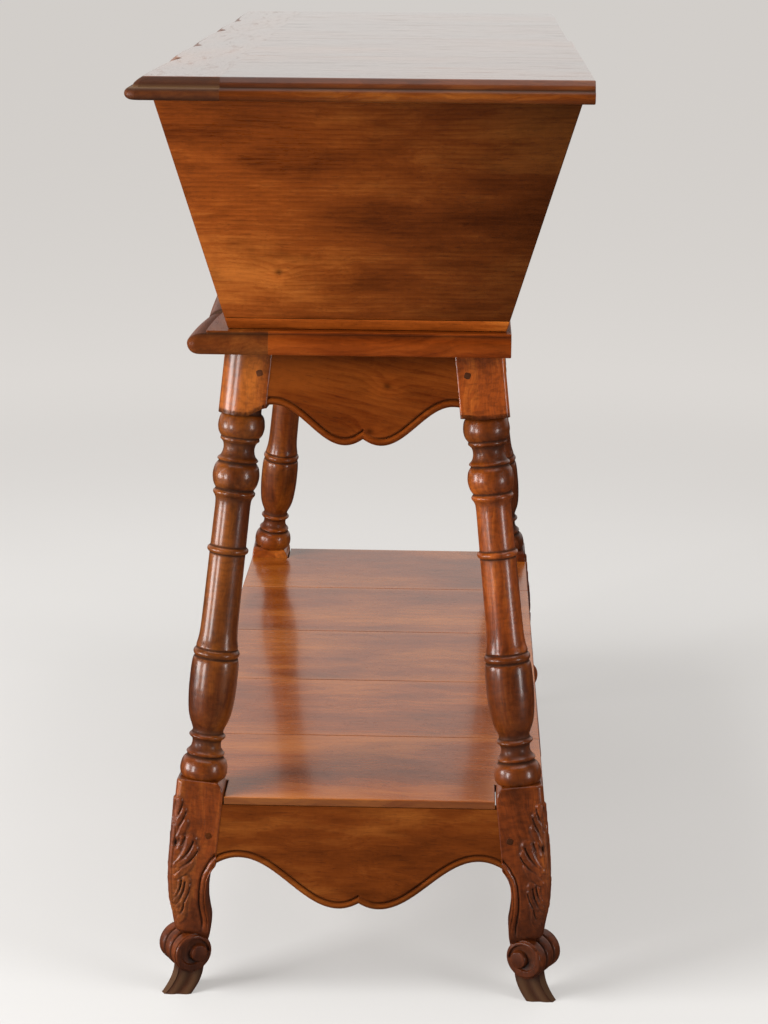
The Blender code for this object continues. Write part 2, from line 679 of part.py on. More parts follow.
def build_moulded_top(top, parts, cutters):
    """A scalloped moulded front rail, and boards behind it with moulded ends and a plain back."""
    edge = [(top.length / 2 - top.end_reach + out, z) for out, z in top.edge(top.end_reach)]
    build_front_rail(top, edge + [(-x, z) for x, z in reversed(edge)], parts, cutters)
    made = []
    span = (top.length - 2 * top.end_reach) / top.boards
    depth = top.back - top.front - top.rail - GAP / 2
    place = Matrix.Translation((0.0, top.back, 0.0)) @ Matrix.Rotation(math.pi / 2, 4, "X")
    for index in range(top.boards):
        start = (index - top.boards / 2) * span + GAP / 2
        end = start + span - GAP
        near = [(start, top.high_z), (start, top.low_z)]
        far = [(end, top.low_z), (end, top.high_z)]
        if index == 0:
            near = [(-x, z) for x, z in edge]
        if index == top.boards - 1:
            far = list(reversed(edge))
        made.append(slab(f"{top.prefix}_board_{index + 1}", near + far, depth, parts, place))
    return made


def build_stand_top(parts, cutters):
    """Board that caps the stand and carries the trough."""
    top = MouldedTop(
        "stand_top", STAND_TOP_LENGTH, -STAND_TOP_FRONT, STAND_TOP_BACK, STAND_TOP_Z,
        STAND_TOP_Z + STAND_TOP_THICKNESS, STAND_TOP_RAIL, STAND_TOP_BOARDS, stand_top_edge,
        STAND_TOP_FRONT_REACH, STAND_TOP_END_REACH, (STAND_TOP_CUSP,), STAND_TOP_SCALLOP)
    for board in build_moulded_top(top, parts, cutters):
        finish(board, WALNUT)


def trough_sizes(z):
    """Outer half length, front and back of the trough at a height."""
    share = (z - TROUGH_Z) / TROUGH_HEIGHT
    half = TROUGH_BOTTOM_LENGTH / 2 + (TROUGH_TOP_LENGTH - TROUGH_BOTTOM_LENGTH) / 2 * share
    front = TROUGH_BOTTOM_FRONT + (TROUGH_TOP_FRONT - TROUGH_BOTTOM_FRONT) * share
    back = TROUGH_BOTTOM_BACK + (TROUGH_TOP_BACK - TROUGH_BOTTOM_BACK) * share
    return half, -front, back


def trough_piece(name, low_z, high_z, rectangle, look, parts):
    """A trough board whose outline at each height comes from a rectangle function."""
    piece = tapered_box(name, rectangle(low_z), low_z, rectangle(high_z), high_z, parts)
    finish(piece, look)


def build_trough(parts):
    """End panels over their strips, front and back boards between them, and the bottom board."""
    def end_panel(side):
        def rectangle(z):
            half, front, back = trough_sizes(z)
            inner = half - TROUGH_WALL
            return (inner, front, half, back) if side > 0 else (-half, front, -inner, back)
        return rectangle

    def long_board(side):
        def rectangle(z):
            half, front, back = trough_sizes(z)
            inner = half - TROUGH_WALL - GAP
            if side > 0:
                return (-inner, back - TROUGH_WALL, inner, back)
            return (-inner, front, inner, front + TROUGH_WALL)
        return rectangle

    def floor(z):
        half, front, back = trough_sizes(z)
        inset = TROUGH_WALL + GAP
        return (-half + inset, front + inset, half - inset, back - inset)

    joint = TROUGH_Z + TROUGH_STRIP
    for end, side in (("right", 1.0), ("left", -1.0)):
        trough_piece(f"trough_end_strip_{end}", TROUGH_Z, joint, end_panel(side), WALNUT, parts)
        trough_piece(f"trough_end_{end}", joint + GAP, TROUGH_TOP_Z, end_panel(side), WALNUT, parts)
    trough_piece("trough_front", TROUGH_Z, TROUGH_TOP_Z, long_board(-1.0), WALNUT, parts)
    trough_piece("trough_back", TROUGH_Z, TROUGH_TOP_Z, long_board(1.0), WALNUT, parts)
    trough_piece("trough_bottom", TROUGH_Z, TROUGH_Z + TROUGH_FLOOR, floor, WALNUT_INSIDE, parts)


def hinge_axis():
    """Height and depth of the lid's hinge axis, in the corner of the lid and the trough's back."""
    z = LID_Z + HINGE_LEAF - HINGE_BARREL_RADIUS
    slope = math.atan((TROUGH_TOP_BACK - TROUGH_BOTTOM_BACK) / TROUGH_HEIGHT)
    face = trough_sizes(z)[2]
    return face + (HINGE_BARREL_RADIUS + GAP) / math.cos(slope), z, slope


def build_hinge(side, sign, lid_boards, parts, cutters):
    """Butt hinge: a leaf down the trough's back, a leaf let into the lid, and the pin."""
    y, z, slope = hinge_axis()
    middle = sign * HINGE_AT
    third = HINGE_LENGTH / 3
    start = middle - HINGE_LENGTH / 2
    knuckles = [(start, start + third - GAP / 2), (start + third + GAP / 2, start + 2 * third - GAP / 2),
                (start + 2 * third + GAP / 2, start + HINGE_LENGTH)]
    barrels = []
    for i, (a, b) in enumerate(knuckles):
        name = f"hinge_{side}_barrel_{i}"
        barrels.append(rod(name, (a, y, z), (b, y, z), HINGE_BARREL_RADIUS, HINGE_SIDES, cutters))
    bore = rod(f"hinge_{side}_bore", (start - OVERLAP, y, z), (start + HINGE_LENGTH + OVERLAP, y, z),
               HINGE_PIN_RADIUS + GAP, HINGE_SIDES, cutters)
    clear = HINGE_BARREL_RADIUS + GAP
    face = Matrix.Translation((0.0, y, z)) @ Matrix.Rotation(-slope, 4, "X")
    inner, outer = -HINGE_BARREL_RADIUS, -HINGE_BARREL_RADIUS + HINGE_LEAF
    trough_leaf = box(f"hinge_{side}_trough_leaf", (start, inner, -HINGE_LEAF_REACH),
                      (start + HINGE_LENGTH, outer, -clear), parts, face)
    for i in (0, 2):
        tab = box(f"hinge_{side}_trough_tab_{i}", (knuckles[i][0], inner, -clear - OVERLAP),
                  (knuckles[i][1], outer, 0.0), cutters, face)
        boolean(trough_leaf, tab, "UNION")
        boolean(trough_leaf, barrels[i], "UNION")
    boolean(trough_leaf, bore, "DIFFERENCE")
    finish(bake(trough_leaf), IRON, smooth=True)
    lid_leaf = box(f"hinge_{side}_lid_leaf", (start, y - HINGE_LEAF_REACH, LID_Z),
                   (start + HINGE_LENGTH, y - clear, LID_Z + HINGE_LEAF), parts)
    tab = box(f"hinge_{side}_lid_tab", (knuckles[1][0], y - clear - OVERLAP, LID_Z),
              (knuckles[1][1], y, LID_Z + HINGE_LEAF), cutters)
    boolean(lid_leaf, tab, "UNION")
    boolean(lid_leaf, barrels[1], "UNION")
    boolean(lid_leaf, bore, "DIFFERENCE")
    finish(bake(lid_leaf), IRON, smooth=True)
    pin_start, pin_end = start - HINGE_PIN_HEAD, start + HINGE_LENGTH + HINGE_PIN_HEAD
    pin = rod(f"hinge_{side}_pin", (pin_start, y, z), (pin_end, y, z), HINGE_PIN_RADIUS, HINGE_SIDES, parts)
    finish(pin, IRON, smooth=True)
    recess = box(f"hinge_{side}_recess", (pin_start - GAP, y - HINGE_LEAF_REACH - GAP, LID_Z - OVERLAP),
                 (pin_end + GAP, LID_BACK + OVERLAP, LID_Z + HINGE_LEAF + GAP), cutters)
    for board in lid_boards:
        boolean(board, recess, "DIFFERENCE")


def build_lid(parts, cutters):
    """Moulded lid with its two hinges at the back."""
    top = MouldedTop(
        "lid", LID_LENGTH, LID_FRONT, LID_BACK, LID_Z, LID_Z + LID_THICKNESS, LID_RAIL, LID_BOARDS, lid_edge,
        LID_FRONT_REACH, LID_END_REACH, (LID_CUSP_INNER, LID_CUSP_OUTER), LID_SCALLOP)
    boards = build_moulded_top(top, parts, cutters)
    for side, sign in (("right", 1.0), ("left", -1.0)):
        build_hinge(side, sign, boards, parts, cutters)
    for board in boards:
        finish(bake(board), WALNUT)


def main():
    """Build every piece of the table."""
    clear_scene()
    parts = new_collection("dough_bin_table")
    cutters = new_collection("cutters")
    build_stand(parts, cutters)
    build_shelf(parts, cutters)
    build_stand_top(parts, cutters)
    build_trough(parts)
    build_lid(parts, cutters)


main()
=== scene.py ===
"""Dough bin table in polished walnut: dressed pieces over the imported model, in a pale studio.

Metres, +Z up. X runs along the table, the scalloped front faces -Y, and the lid opens at the back (+Y).
"""
import logging
import math
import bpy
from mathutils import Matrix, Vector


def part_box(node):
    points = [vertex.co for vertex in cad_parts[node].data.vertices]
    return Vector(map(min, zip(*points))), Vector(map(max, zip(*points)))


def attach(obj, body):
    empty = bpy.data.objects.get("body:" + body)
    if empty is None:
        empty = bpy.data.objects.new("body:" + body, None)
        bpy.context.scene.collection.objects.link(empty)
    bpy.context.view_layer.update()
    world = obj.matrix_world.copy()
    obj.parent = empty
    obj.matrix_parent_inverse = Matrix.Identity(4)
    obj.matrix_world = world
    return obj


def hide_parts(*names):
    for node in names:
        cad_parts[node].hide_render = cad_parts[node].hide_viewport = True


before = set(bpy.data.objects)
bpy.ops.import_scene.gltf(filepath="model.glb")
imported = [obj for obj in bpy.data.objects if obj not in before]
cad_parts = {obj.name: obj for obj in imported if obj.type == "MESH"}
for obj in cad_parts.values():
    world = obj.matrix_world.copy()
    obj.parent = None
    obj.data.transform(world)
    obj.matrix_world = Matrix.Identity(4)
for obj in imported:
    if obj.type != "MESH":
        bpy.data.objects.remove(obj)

import zlib
from collections.abc import Callable, Sequence
from dataclasses import dataclass, field
from enum import Enum
from typing import Any

import bmesh
import bpy
import numpy as np

Array = np.ndarray
Material = bpy.types.Material
Point = tuple[float, float, float]
Colour = tuple[float, float, float]
Tone = Callable[[Array], Array]

LOG = logging.getLogger("dough_bin_table")
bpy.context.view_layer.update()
GAP = 0.0003
QUARTER = math.pi / 2


class Body(Enum):
    """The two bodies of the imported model."""

    STAND = "stand"
    LID = "lid"


class Slot(Enum):
    """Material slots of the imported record."""

    WALNUT = "walnut"
    DARK = "walnut_dark"
    INSIDE = "walnut_inside"
    IRON = "iron"


class Corner(Enum):
    """The four legs, by the signs that carry the back right leg to them."""

    BACK_RIGHT = (1.0, 1.0)
    BACK_LEFT = (-1.0, 1.0)
    FRONT_RIGHT = (1.0, -1.0)
    FRONT_LEFT = (-1.0, -1.0)

    @property
    def signs(self) -> Array:
        """Signs of X, Y and Z as an array."""
        return np.array((*self.value, 1.0))

    @property
    def label(self) -> str:
        """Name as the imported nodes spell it."""
        return self.name.lower()


class Side(Enum):
    """The four sides of the stand: whether the apron runs along X, and the sign of its outward side."""

    BACK = (True, 1.0)
    FRONT = (True, -1.0)
    RIGHT = (False, 1.0)
    LEFT = (False, -1.0)

    @property
    def long(self) -> bool:
        """True for the two long sides."""
        return self.value[0]

    @property
    def signs(self) -> Array:
        """Signs that carry the back or right apron to this side."""
        return np.array((1.0, self.value[1], 1.0) if self.long else (self.value[1], 1.0, 1.0))


def unit(vector: Sequence[float]) -> Array:
    """The vector at length one."""
    return np.asarray(vector, float) / np.linalg.norm(vector)


def step(values: Array, low: float, high: float) -> Array:
    """Smooth step: 3t² - 2t³ of the share of the way from low to high, held at 0 and 1 outside."""
    share = np.clip((values - low) / (high - low), 0.0, 1.0)
    return share * share * (3.0 - 2.0 * share)


def smooth_line(knots: Array, at: Array) -> Array:
    """Curve through knots that never swings past them.

    Each stretch is a cubic whose end slopes are the harmonic mean of the slopes on both sides of the
    knot, or zero where the curve turns there.

    Args:
        knots: Pairs of position and value, positions rising.
        at: Positions to read.

    Returns:
        The value at each position.
    """
    x, y = knots[:, 0], knots[:, 1]
    width = np.diff(x)
    slope = np.diff(y) / width
    before, after = slope[:-1], slope[1:]
    turns = before * after <= 0
    near, far = 2 * width[1:] + width[:-1], width[1:] + 2 * width[:-1]
    safe_before, safe_after = np.where(turns, 1.0, before), np.where(turns, 1.0, after)
    middle = np.where(turns, 0.0, (near + far) / (near / safe_before + far / safe_after))
    lean = np.concatenate(([slope[0]], middle, [slope[-1]]))
    left = np.clip(np.searchsorted(x, at) - 1, 0, len(x) - 2)
    t = np.clip((at - x[left]) / width[left], 0.0, 1.0)
    rise = width[left]
    return (y[left] * (1 + 2 * t) * (1 - t) ** 2 + y[left + 1] * t * t * (3 - 2 * t)
            + rise * lean[left] * t * (1 - t) ** 2 + rise * lean[left + 1] * t * t * (t - 1))


def table(rows: Sequence[Sequence[float]]) -> Array:
    """A small table of sizes as an array."""
    return np.array(rows, float)


def circle(columns: int) -> Array:
    """Angles of evenly spaced columns round a full turn."""
    return np.linspace(0, 2 * math.pi, columns + 1)[:-1]


def eased(radius: float, rows: int) -> tuple[Array, Array]:
    """Rows of a rounded edge: how far each is drawn in from the face, and how far it lies from the end."""
    turn = np.linspace(0, QUARTER, rows)
    return radius * (1 - np.sin(turn)), radius * (1 - np.cos(turn))


def surface(x: Array, y: Array, z: Array | float) -> Array:
    """Points by row and column, from coordinates that broadcast together."""
    return np.stack(np.broadcast_arrays(x, y, z), -1)


@dataclass(frozen=True)
class Grain:
    """How the wood lies in a piece: its fibres, the face it was sawn to, and its place in the log."""

    along: Point
    face: Point
    shift: Point

    @classmethod
    def sawn(cls, name: str, along: Point, face: Point, heart: float = 0.11) -> "Grain":
        """Place a board in a log of its own, always the same for the same name.

        Args:
            name: Piece that the wood is for.
            along: Direction of the fibres.
            face: Direction of the board's broad face.
            heart: Distance from the board to the heart of the log.

        Returns:
            The wood's place.
        """
        dice = np.random.default_rng(zlib.crc32(name.encode()))
        shift = (dice.uniform(-0.05, 0.05), heart * dice.uniform(0.7, 1.3), dice.uniform(0, 40))
        return cls(along, face, shift)

    def of(self, points: Array) -> Array:
        """Points in the wood's own frame: across the log, out from its heart, along its fibres.

        Args:
            points: Points in the table's frame.

        Returns:
            The same points in the wood's frame.
        """
        along = unit(self.along)
        across = unit(np.cross(along, self.face))
        out = np.cross(across, along)
        return points @ np.stack((across, out, along), axis=1) + np.array(self.shift)


def ring_quads(index: Array) -> Array:
    """Faces of a grid of point numbers whose last column joins its first."""
    ring = np.concatenate((index, index[:, :1]), axis=1)
    return np.stack((ring[:-1, :-1], ring[1:, :-1], ring[1:, 1:], ring[:-1, 1:]), -1).reshape(-1, 4)


class Piece:
    """One finished object gathered from closed surfaces, with the wood's place and age at each point."""

    def __init__(self, grain: Grain, tone: float = 1.0, drift: Tone | None = None) -> None:
        """Start an empty piece.

        Args:
            grain: How its wood lies.
            tone: Brightness of its wood beside the other pieces.
            drift: Share of the tone at points, where it isn't the same all over.
        """
        self.grain = grain
        self.tone = tone
        self.drift = drift
        self._points: list[Array] = []
        self._woods: list[Array] = []
        self._ages: list[Array] = []
        self._quads: list[Array] = []
        self._caps: list[Array] = []
        self._count = 0

    def grid(self, points: Array, age: Array | float = 0.0, wood: Array | None = None) -> Array:
        """Add a grid of points whose last column joins its first.

        Args:
            points: Rows, columns and three coordinates.
            age: Darkening above zero, from dark wax in hollows and in places painted shade; rubbed edges
                below zero.
            wood: Points to read the grain at, where they aren't the piece's own.

        Returns:
            The number of each grid point in the piece.
        """
        rows, columns = points.shape[:2]
        index = np.arange(rows * columns).reshape(rows, columns) + self._count
        self._quads.append(ring_quads(index))
        self._points.append(points.reshape(-1, 3))
        self._woods.append(self.grain.of((points if wood is None else wood).reshape(-1, 3)))
        self._ages.append(np.broadcast_to(age, (rows, columns)).reshape(-1))
        self._count += rows * columns
        return index

    def tube(self, points: Array, age: Array | float = 0.0, wood: Array | None = None) -> None:
        """Add a grid like grid(), closed by a flat face over its first row and its last row."""
        index = self.grid(points, age, wood)
        self._caps += [index[0][::-1], index[-1]]

    def make(self, name: str) -> bpy.types.Object:
        """Put the surfaces into one mesh object at the origin, with faces outwards.

        Args:
            name: Name of the object.

        Returns:
            The object, in the scene.
        """
        quads = np.concatenate(self._quads)
        loops = np.concatenate([quads.ravel(), *self._caps]).astype(np.int32)
        sizes = np.array([4] * len(quads) + [len(cap) for cap in self._caps])
        mesh = bpy.data.meshes.new(name)
        mesh.vertices.add(self._count)
        mesh.vertices.foreach_set("co", np.concatenate(self._points).ravel())
        mesh.loops.add(len(loops))
        mesh.loops.foreach_set("vertex_index", loops)
        mesh.polygons.add(len(sizes))
        starts = np.concatenate(([0], np.cumsum(sizes)[:-1])).astype(np.int32)
        mesh.polygons.foreach_set("loop_start", starts)
        mesh.update(calc_edges=True)
        wood = mesh.attributes.new("grain", "FLOAT_VECTOR", "POINT")
        wood.data.foreach_set("vector", np.concatenate(self._woods).ravel())
        mesh.attributes.new("age", "FLOAT", "POINT").data.foreach_set("value", np.concatenate(self._ages))
        share = self.drift(np.concatenate(self._points)) if self.drift else np.ones(self._count)
        mesh.attributes.new("tone", "FLOAT", "POINT").data.foreach_set("value", self.tone * share)
        work = bmesh.new()
        work.from_mesh(mesh)
        bmesh.ops.remove_doubles(work, verts=work.verts, dist=2e-6)
        bmesh.ops.dissolve_degenerate(work, dist=1e-6, edges=work.edges)
        bmesh.ops.recalc_face_normals(work, faces=work.faces)
        work.to_mesh(mesh)
        work.free()
        mesh.shade_smooth()
        mesh.set_sharp_from_angle(angle=math.radians(32))
        piece = bpy.data.objects.new(name, mesh)
        bpy.context.scene.collection.objects.link(piece)
        even = piece.modifiers.new("flat_faces", "WEIGHTED_NORMAL")
        even.keep_sharp = True
        return piece


def hand_over(piece: bpy.types.Object, look: Material, body: Body, slot: Slot, *nodes: str) -> None:
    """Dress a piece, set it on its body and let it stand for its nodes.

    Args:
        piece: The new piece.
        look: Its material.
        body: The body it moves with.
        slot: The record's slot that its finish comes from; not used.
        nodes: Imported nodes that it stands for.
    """
    piece.data.materials.append(look)
    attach(piece, body.value)
    if nodes:
        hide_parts(*nodes)
    stands_for = ", ".join(nodes) or "no node"
    LOG.info("%s: %d faces, stands for %s", piece.name, len(piece.data.polygons), stands_for)


class Socket:
    """A value in a shader; operators on it add Math nodes."""

    def __init__(self, shader: "Shader", link: bpy.types.NodeSocket) -> None:
        """Wrap a node's output."""
        self.shader = shader
        self.link = link

    def _math(self, operation: str, first: "Socket | float", second: "Socket | float") -> "Socket":
        """One Math node on two values."""
        return self.shader.node("ShaderNodeMath", {"operation": operation}, {0: first, 1: second})

    def __add__(self, other: "Socket | float") -> "Socket":
        """Sum."""
        return self._math("ADD", self, other)

    __radd__ = __add__

    def __sub__(self, other: "Socket | float") -> "Socket":
        """Difference."""
        return self._math("SUBTRACT", self, other)

    def __rsub__(self, other: "Socket | float") -> "Socket":
        """Difference from a number."""
        return self._math("SUBTRACT", other, self)

    def __mul__(self, other: "Socket | float") -> "Socket":
        """Product."""
        return self._math("MULTIPLY", self, other)

    __rmul__ = __mul__

    def __truediv__(self, other: "Socket | float") -> "Socket":
        """Quotient."""
        return self._math("DIVIDE", self, other)

    def __pow__(self, other: "Socket | float") -> "Socket":
        """Power."""
        return self._math("POWER", self, other)

    def part(self) -> "Socket":
        """What is left after the whole number."""
        return self._math("FRACT", self, 0.0)

    def falling(self) -> "Socket":
        """The exponential of minus the value."""
        return self._math("POWER", math.e, 0.0 - self)

    def least(self, other: "Socket | float") -> "Socket":
        """The smaller of two values."""
        return self._math("MINIMUM", self, other)

    def most(self, other: "Socket | float") -> "Socket":
        """The larger of two values."""
        return self._math("MAXIMUM", self, other)

    def step(self, low: float, high: float) -> "Socket":
        """Smooth step from 0 at low to 1 at high."""
        smooth = {"interpolation_type": "SMOOTHSTEP"}
        return self.shader.node("ShaderNodeMapRange", smooth, {0: self, 1: low, 2: high})


class Shader:
    """The nodes of a material or of the world, built one by one."""

    def __init__(self, owner: Material | bpy.types.World) -> None:
        """Start on a new material with its Principled shader, or on a world with its Background.

        Args:
            owner: The material or world.
        """
        owner.use_nodes = True
        self.owner = owner
        self.tree = owner.node_tree
        self.surface = self.tree.nodes["Principled BSDF" if isinstance(owner, Material) else "Background"]

    @classmethod
    def material(cls, name: str) -> "Shader":
        """Start a material."""
        return cls(bpy.data.materials.new(name))

    def node(self, kind: str, settings: dict[str, Any], inputs: dict[Any, Any],
             output: int | str = 0) -> Socket:
        """Add a node.

        Args:
            kind: The node's type.
            settings: Its properties, set first; stops gives a ramp's positions and colours.
            inputs: Values or links of its sockets, by number or name.
            output: The output to hand back.

        Returns:
            The output, wrapped.
        """
        made = self.tree.nodes.new(kind)
        for key, value in settings.items():
            if key == "stops":
                self._set_stops(made.color_ramp.elements, value)
            else:
                setattr(made, key, value)
        for key, value in inputs.items():
            self._feed(made.inputs[key], value)
        return Socket(self, made.outputs[output])

    def _feed(self, socket: bpy.types.NodeSocket, value: Any) -> None:
        """Link a wrapped output, or set a plain value."""
        if isinstance(value, Socket):
            self.tree.links.new(value.link, socket)
        else:
            socket.default_value = value

    def _set_stops(self, elements: bpy.types.ColorRampElements,
                   stops: Sequence[tuple[float, Colour]]) -> None:
        """Give a ramp its stops."""
        while len(elements) < len(stops):
            elements.new(1.0)
        for element, (position, colour) in zip(elements, stops):
            element.position = position
            element.color = (*colour, 1.0)

    def attribute(self, name: str, output: str = "Fac") -> Socket:
        """A value that the mesh carries."""
        return self.node("ShaderNodeAttribute", {"attribute_name": name}, {}, output)

    def noise(self, place: Socket, stretch: Point, detail: float, rough: float = 0.5) -> Socket:
        """Soft noise read at a place drawn out along the axes.

        Args:
            place: Coordinates.
            stretch: Noise cells to the metre along each axis.
            detail: Octaves.
            rough: Weight of the finer octaves.

        Returns:
            Noise from 0 to 1.
        """
        drawn = self.node("ShaderNodeVectorMath", {"operation": "MULTIPLY"}, {0: place, 1: stretch})
        inputs = {"Vector": drawn, "Scale": 1.0, "Detail": detail, "Roughness": rough}
        return self.node("ShaderNodeTexNoise", {}, inputs)

    def axes(self, place: Socket) -> list[Socket]:
        """The X, Y and Z of coordinates."""
        return [self.node("ShaderNodeSeparateXYZ", {}, {0: place}, axis) for axis in "XYZ"]

    def scaled(self, colour: Socket | Colour, share: Socket | float) -> Socket:
        """A colour made brighter or darker by a value."""
        return self.node("ShaderNodeVectorMath", {"operation": "SCALE"}, {0: colour, 3: share})

    def blended(self, first: Socket, second: Colour, share: Socket) -> Socket:
        """A colour on its way to another."""
        return self.node("ShaderNodeMix", {"data_type": "RGBA"}, {0: share, 6: first, 7: (*second, 1.0)}, 2)

    def finish(self, **sockets: Any) -> Material:
        """Feed the last shader's sockets, whose names have _ for a space, and hand back what it dresses."""
        for name, value in sockets.items():
            self._feed(self.surface.inputs[name.replace("_", " ")], value)
        return self.owner


# Noise in walnut: cells to the metre across and along the fibres, octaves and the weight of the finer ones
NOISES = {
    "drift": (8.0, 2.2, 3.0, 0.5), "patch": (9.0, 3.4, 3.0, 0.5), "streak": (105.0, 15.0, 5.0, 0.66),
    "band": (28.0, 6.0, 4.0, 0.60), "stain": (46.0, 15.0, 5.0, 0.66), "curl": (120.0, 260.0, 3.0, 0.6),
    "fibre": (620.0, 26.0, 2.0, 0.6), "pore": (1250.0, 55.0, 1.0, 0.5)}
# How much of the light and dark each noise makes, and between which values the spots begin
FIGURE = {"streak": 0.30, "band": 0.55, "drift": 0.75, "patch": 0.85, "fibre": 0.17}
SPOTS = {"stain": (0.46, 0.74), "curl": (0.40, 0.66), "pore": (0.60, 0.72)}


@dataclass(frozen=True)
class Walnut:
    """Polished walnut: growth rings round the heart of the log, long streaks, fibres and open pores."""

    name: str
    dark: Colour = (0.040, 0.0070, 0.0009)
    middle: Colour = (0.140, 0.0300, 0.0036)
    light: Colour = (0.290, 0.0850, 0.0125)
    ring_width: float = 0.0052
    contrast: float = 1.25
    roughness: float = 0.31
    coat: float = 0.06
    polish: float = 0.12
    ior: float = 1.17
    worn: float = 0.0
    patina: float = 0.25
    relief: float = 0.20
    curl: float = 0.06
    # Colour of the dark wax in hollows; the painted shade in some pieces' age also blends towards it
    wax: Colour = (0.020, 0.0066, 0.0024)
    dust: Colour = (0.096, 0.051, 0.022)
    knots: tuple[Point, ...] = field(default_factory=tuple)

    def _knot(self, axes: list[Socket], spot: Point, radius: float) -> Socket:
        """A round hump about a knot: the exponential of minus the squared distance over the radius."""
        across, along = (axes[0] - spot[0]) / radius, (axes[2] - spot[2]) / (radius * 1.4)
        return (across * across + along * along).falling()

    def dress(self) -> Material:
        """Build the material.

        The rings are the distance from the heart of the log, bent by noise and by the knots, and cut into
        widths that darken outwards. Streaks, bands and fibres are noise drawn out along the wood.

        Returns:
            A material that reads the piece's grain, age and tone.
        """
        shader = Shader.material(self.name)
        straight = shader.attribute("grain", "Vector")
        age, tone = shader.attribute("age"), shader.attribute("tone")
        bend = shader.noise(straight, (9.0, 9.0, 3.0), 2.0) - 0.5
        wave = 0.016 * (shader.noise(straight, (30.0, 30.0, 15.0), 2.0) - 0.5)
        sway = shader.node("ShaderNodeCombineXYZ", {}, {0: 0.045 * bend + wave, 1: 0.030 * bend + wave})
        place = shader.node("ShaderNodeVectorMath", {"operation": "ADD"}, {0: straight, 1: sway})
        figure = {name: shader.noise(place, (across, across, along), *detail)
                  for name, (across, along, *detail) in NOISES.items()}
        stain, curl, pore = (figure[name].step(*ends) for name, ends in SPOTS.items())
        still, (sideways, out, _) = shader.axes(straight), shader.axes(place)
        heart = (sideways * sideways + out * out) ** 0.5
        for spot in self.knots:
            heart = heart + 0.009 * self._knot(still, spot, 0.013)
        ring = (heart / self.ring_width).part()
        ring = ring.step(0.25, 0.95) * (1.0 - ring.step(0.95, 1.0))
        lively = sum(weight * (figure[name] - 0.5) for name, weight in FIGURE.items())
        mix = 0.50 + self.contrast * (lively - 0.10 * (ring - 0.35) * figure["drift"])
        stops = [(0.12, self.dark), (0.50, self.middle), (0.88, self.light)]
        colour = shader.node("ShaderNodeValToRGB", {"stops": stops}, {0: mix})
        shade = tone * (1.0 - 0.26 * pore) * (1.0 - self.patina * stain) * (1.0 - self.curl * curl)
        for spot in self.knots:
            shade = shade * (1.0 - 0.66 * self._knot(still, spot, 0.0034))
            shade = shade * (1.0 + 0.30 * self._knot(still, spot, 0.011))
        # Age above zero blends towards the wax colour: dark wax in hollows, and painted shade at the rail's
        # cusps, the trough boards' ends and the lid's quirk.
        wax, dust, rubbed = (share.most(0.0).least(1.0) for share in (age, age - 1.0, 0.0 - age))
        colour = shader.blended(shader.scaled(colour, shade), self.wax, wax * 0.90)
        colour = shader.blended(colour, self.dust, dust)
        colour = shader.blended(colour, self.light, rubbed * 0.5)
        rough = self.roughness + 0.10 * (figure["fibre"] - 0.5) + 0.12 * (figure["patch"] - 0.5)
        rough = rough + 0.14 * pore + 0.40 * wax
        uneven = shader.noise(straight, (22.0, 22.0, 5.0), 2.0)
        height = 0.30 * figure["fibre"] - 0.50 * pore - 0.20 * ring + 1.3 * uneven
        inputs = {"Height": height, "Strength": self.relief, "Distance": 0.0006}
        polished = (1.0 - wax) ** 3.0 * (1.0 - self.worn * figure["streak"].step(0.50, 0.75))
        normal = shader.node("ShaderNodeBump", {}, inputs)
        return shader.finish(Base_Color=colour, Roughness=rough, Normal=normal, IOR=self.ior,
                             Coat_Weight=self.coat * polished, Coat_Roughness=self.polish)


@dataclass(frozen=True)
class Iron:
    """Forged iron: near black with a brown bloom and a pitted face."""

    name: str = "iron"
    dark: Colour = (0.022, 0.019, 0.017)
    bloom: Colour = (0.090, 0.042, 0.022)

    def dress(self) -> Material:
        """Build the material, which reads Object coordinates.

        Returns:
            The material.
        """
        shader = Shader.material(self.name)
        place = shader.node("ShaderNodeTexCoord", {}, {}, "Object")
        cloud = shader.noise(place, (70.0, 70.0, 70.0), 5.0, 0.6)
        pit = shader.noise(place, (900.0, 900.0, 900.0), 2.0)
        stops = [(0.35, self.dark), (0.75, self.bloom)]
        colour = shader.node("ShaderNodeValToRGB", {"stops": stops}, {0: cloud + 0.2 * (pit - 0.5)})
        height = pit + 0.6 * cloud
        normal = shader.node("ShaderNodeBump", {}, {"Height": height, "Strength": 0.35, "Distance": 0.0004})
        return shader.finish(Base_Color=colour, Roughness=0.42 + 0.30 * cloud, Metallic=0.85, Normal=normal)


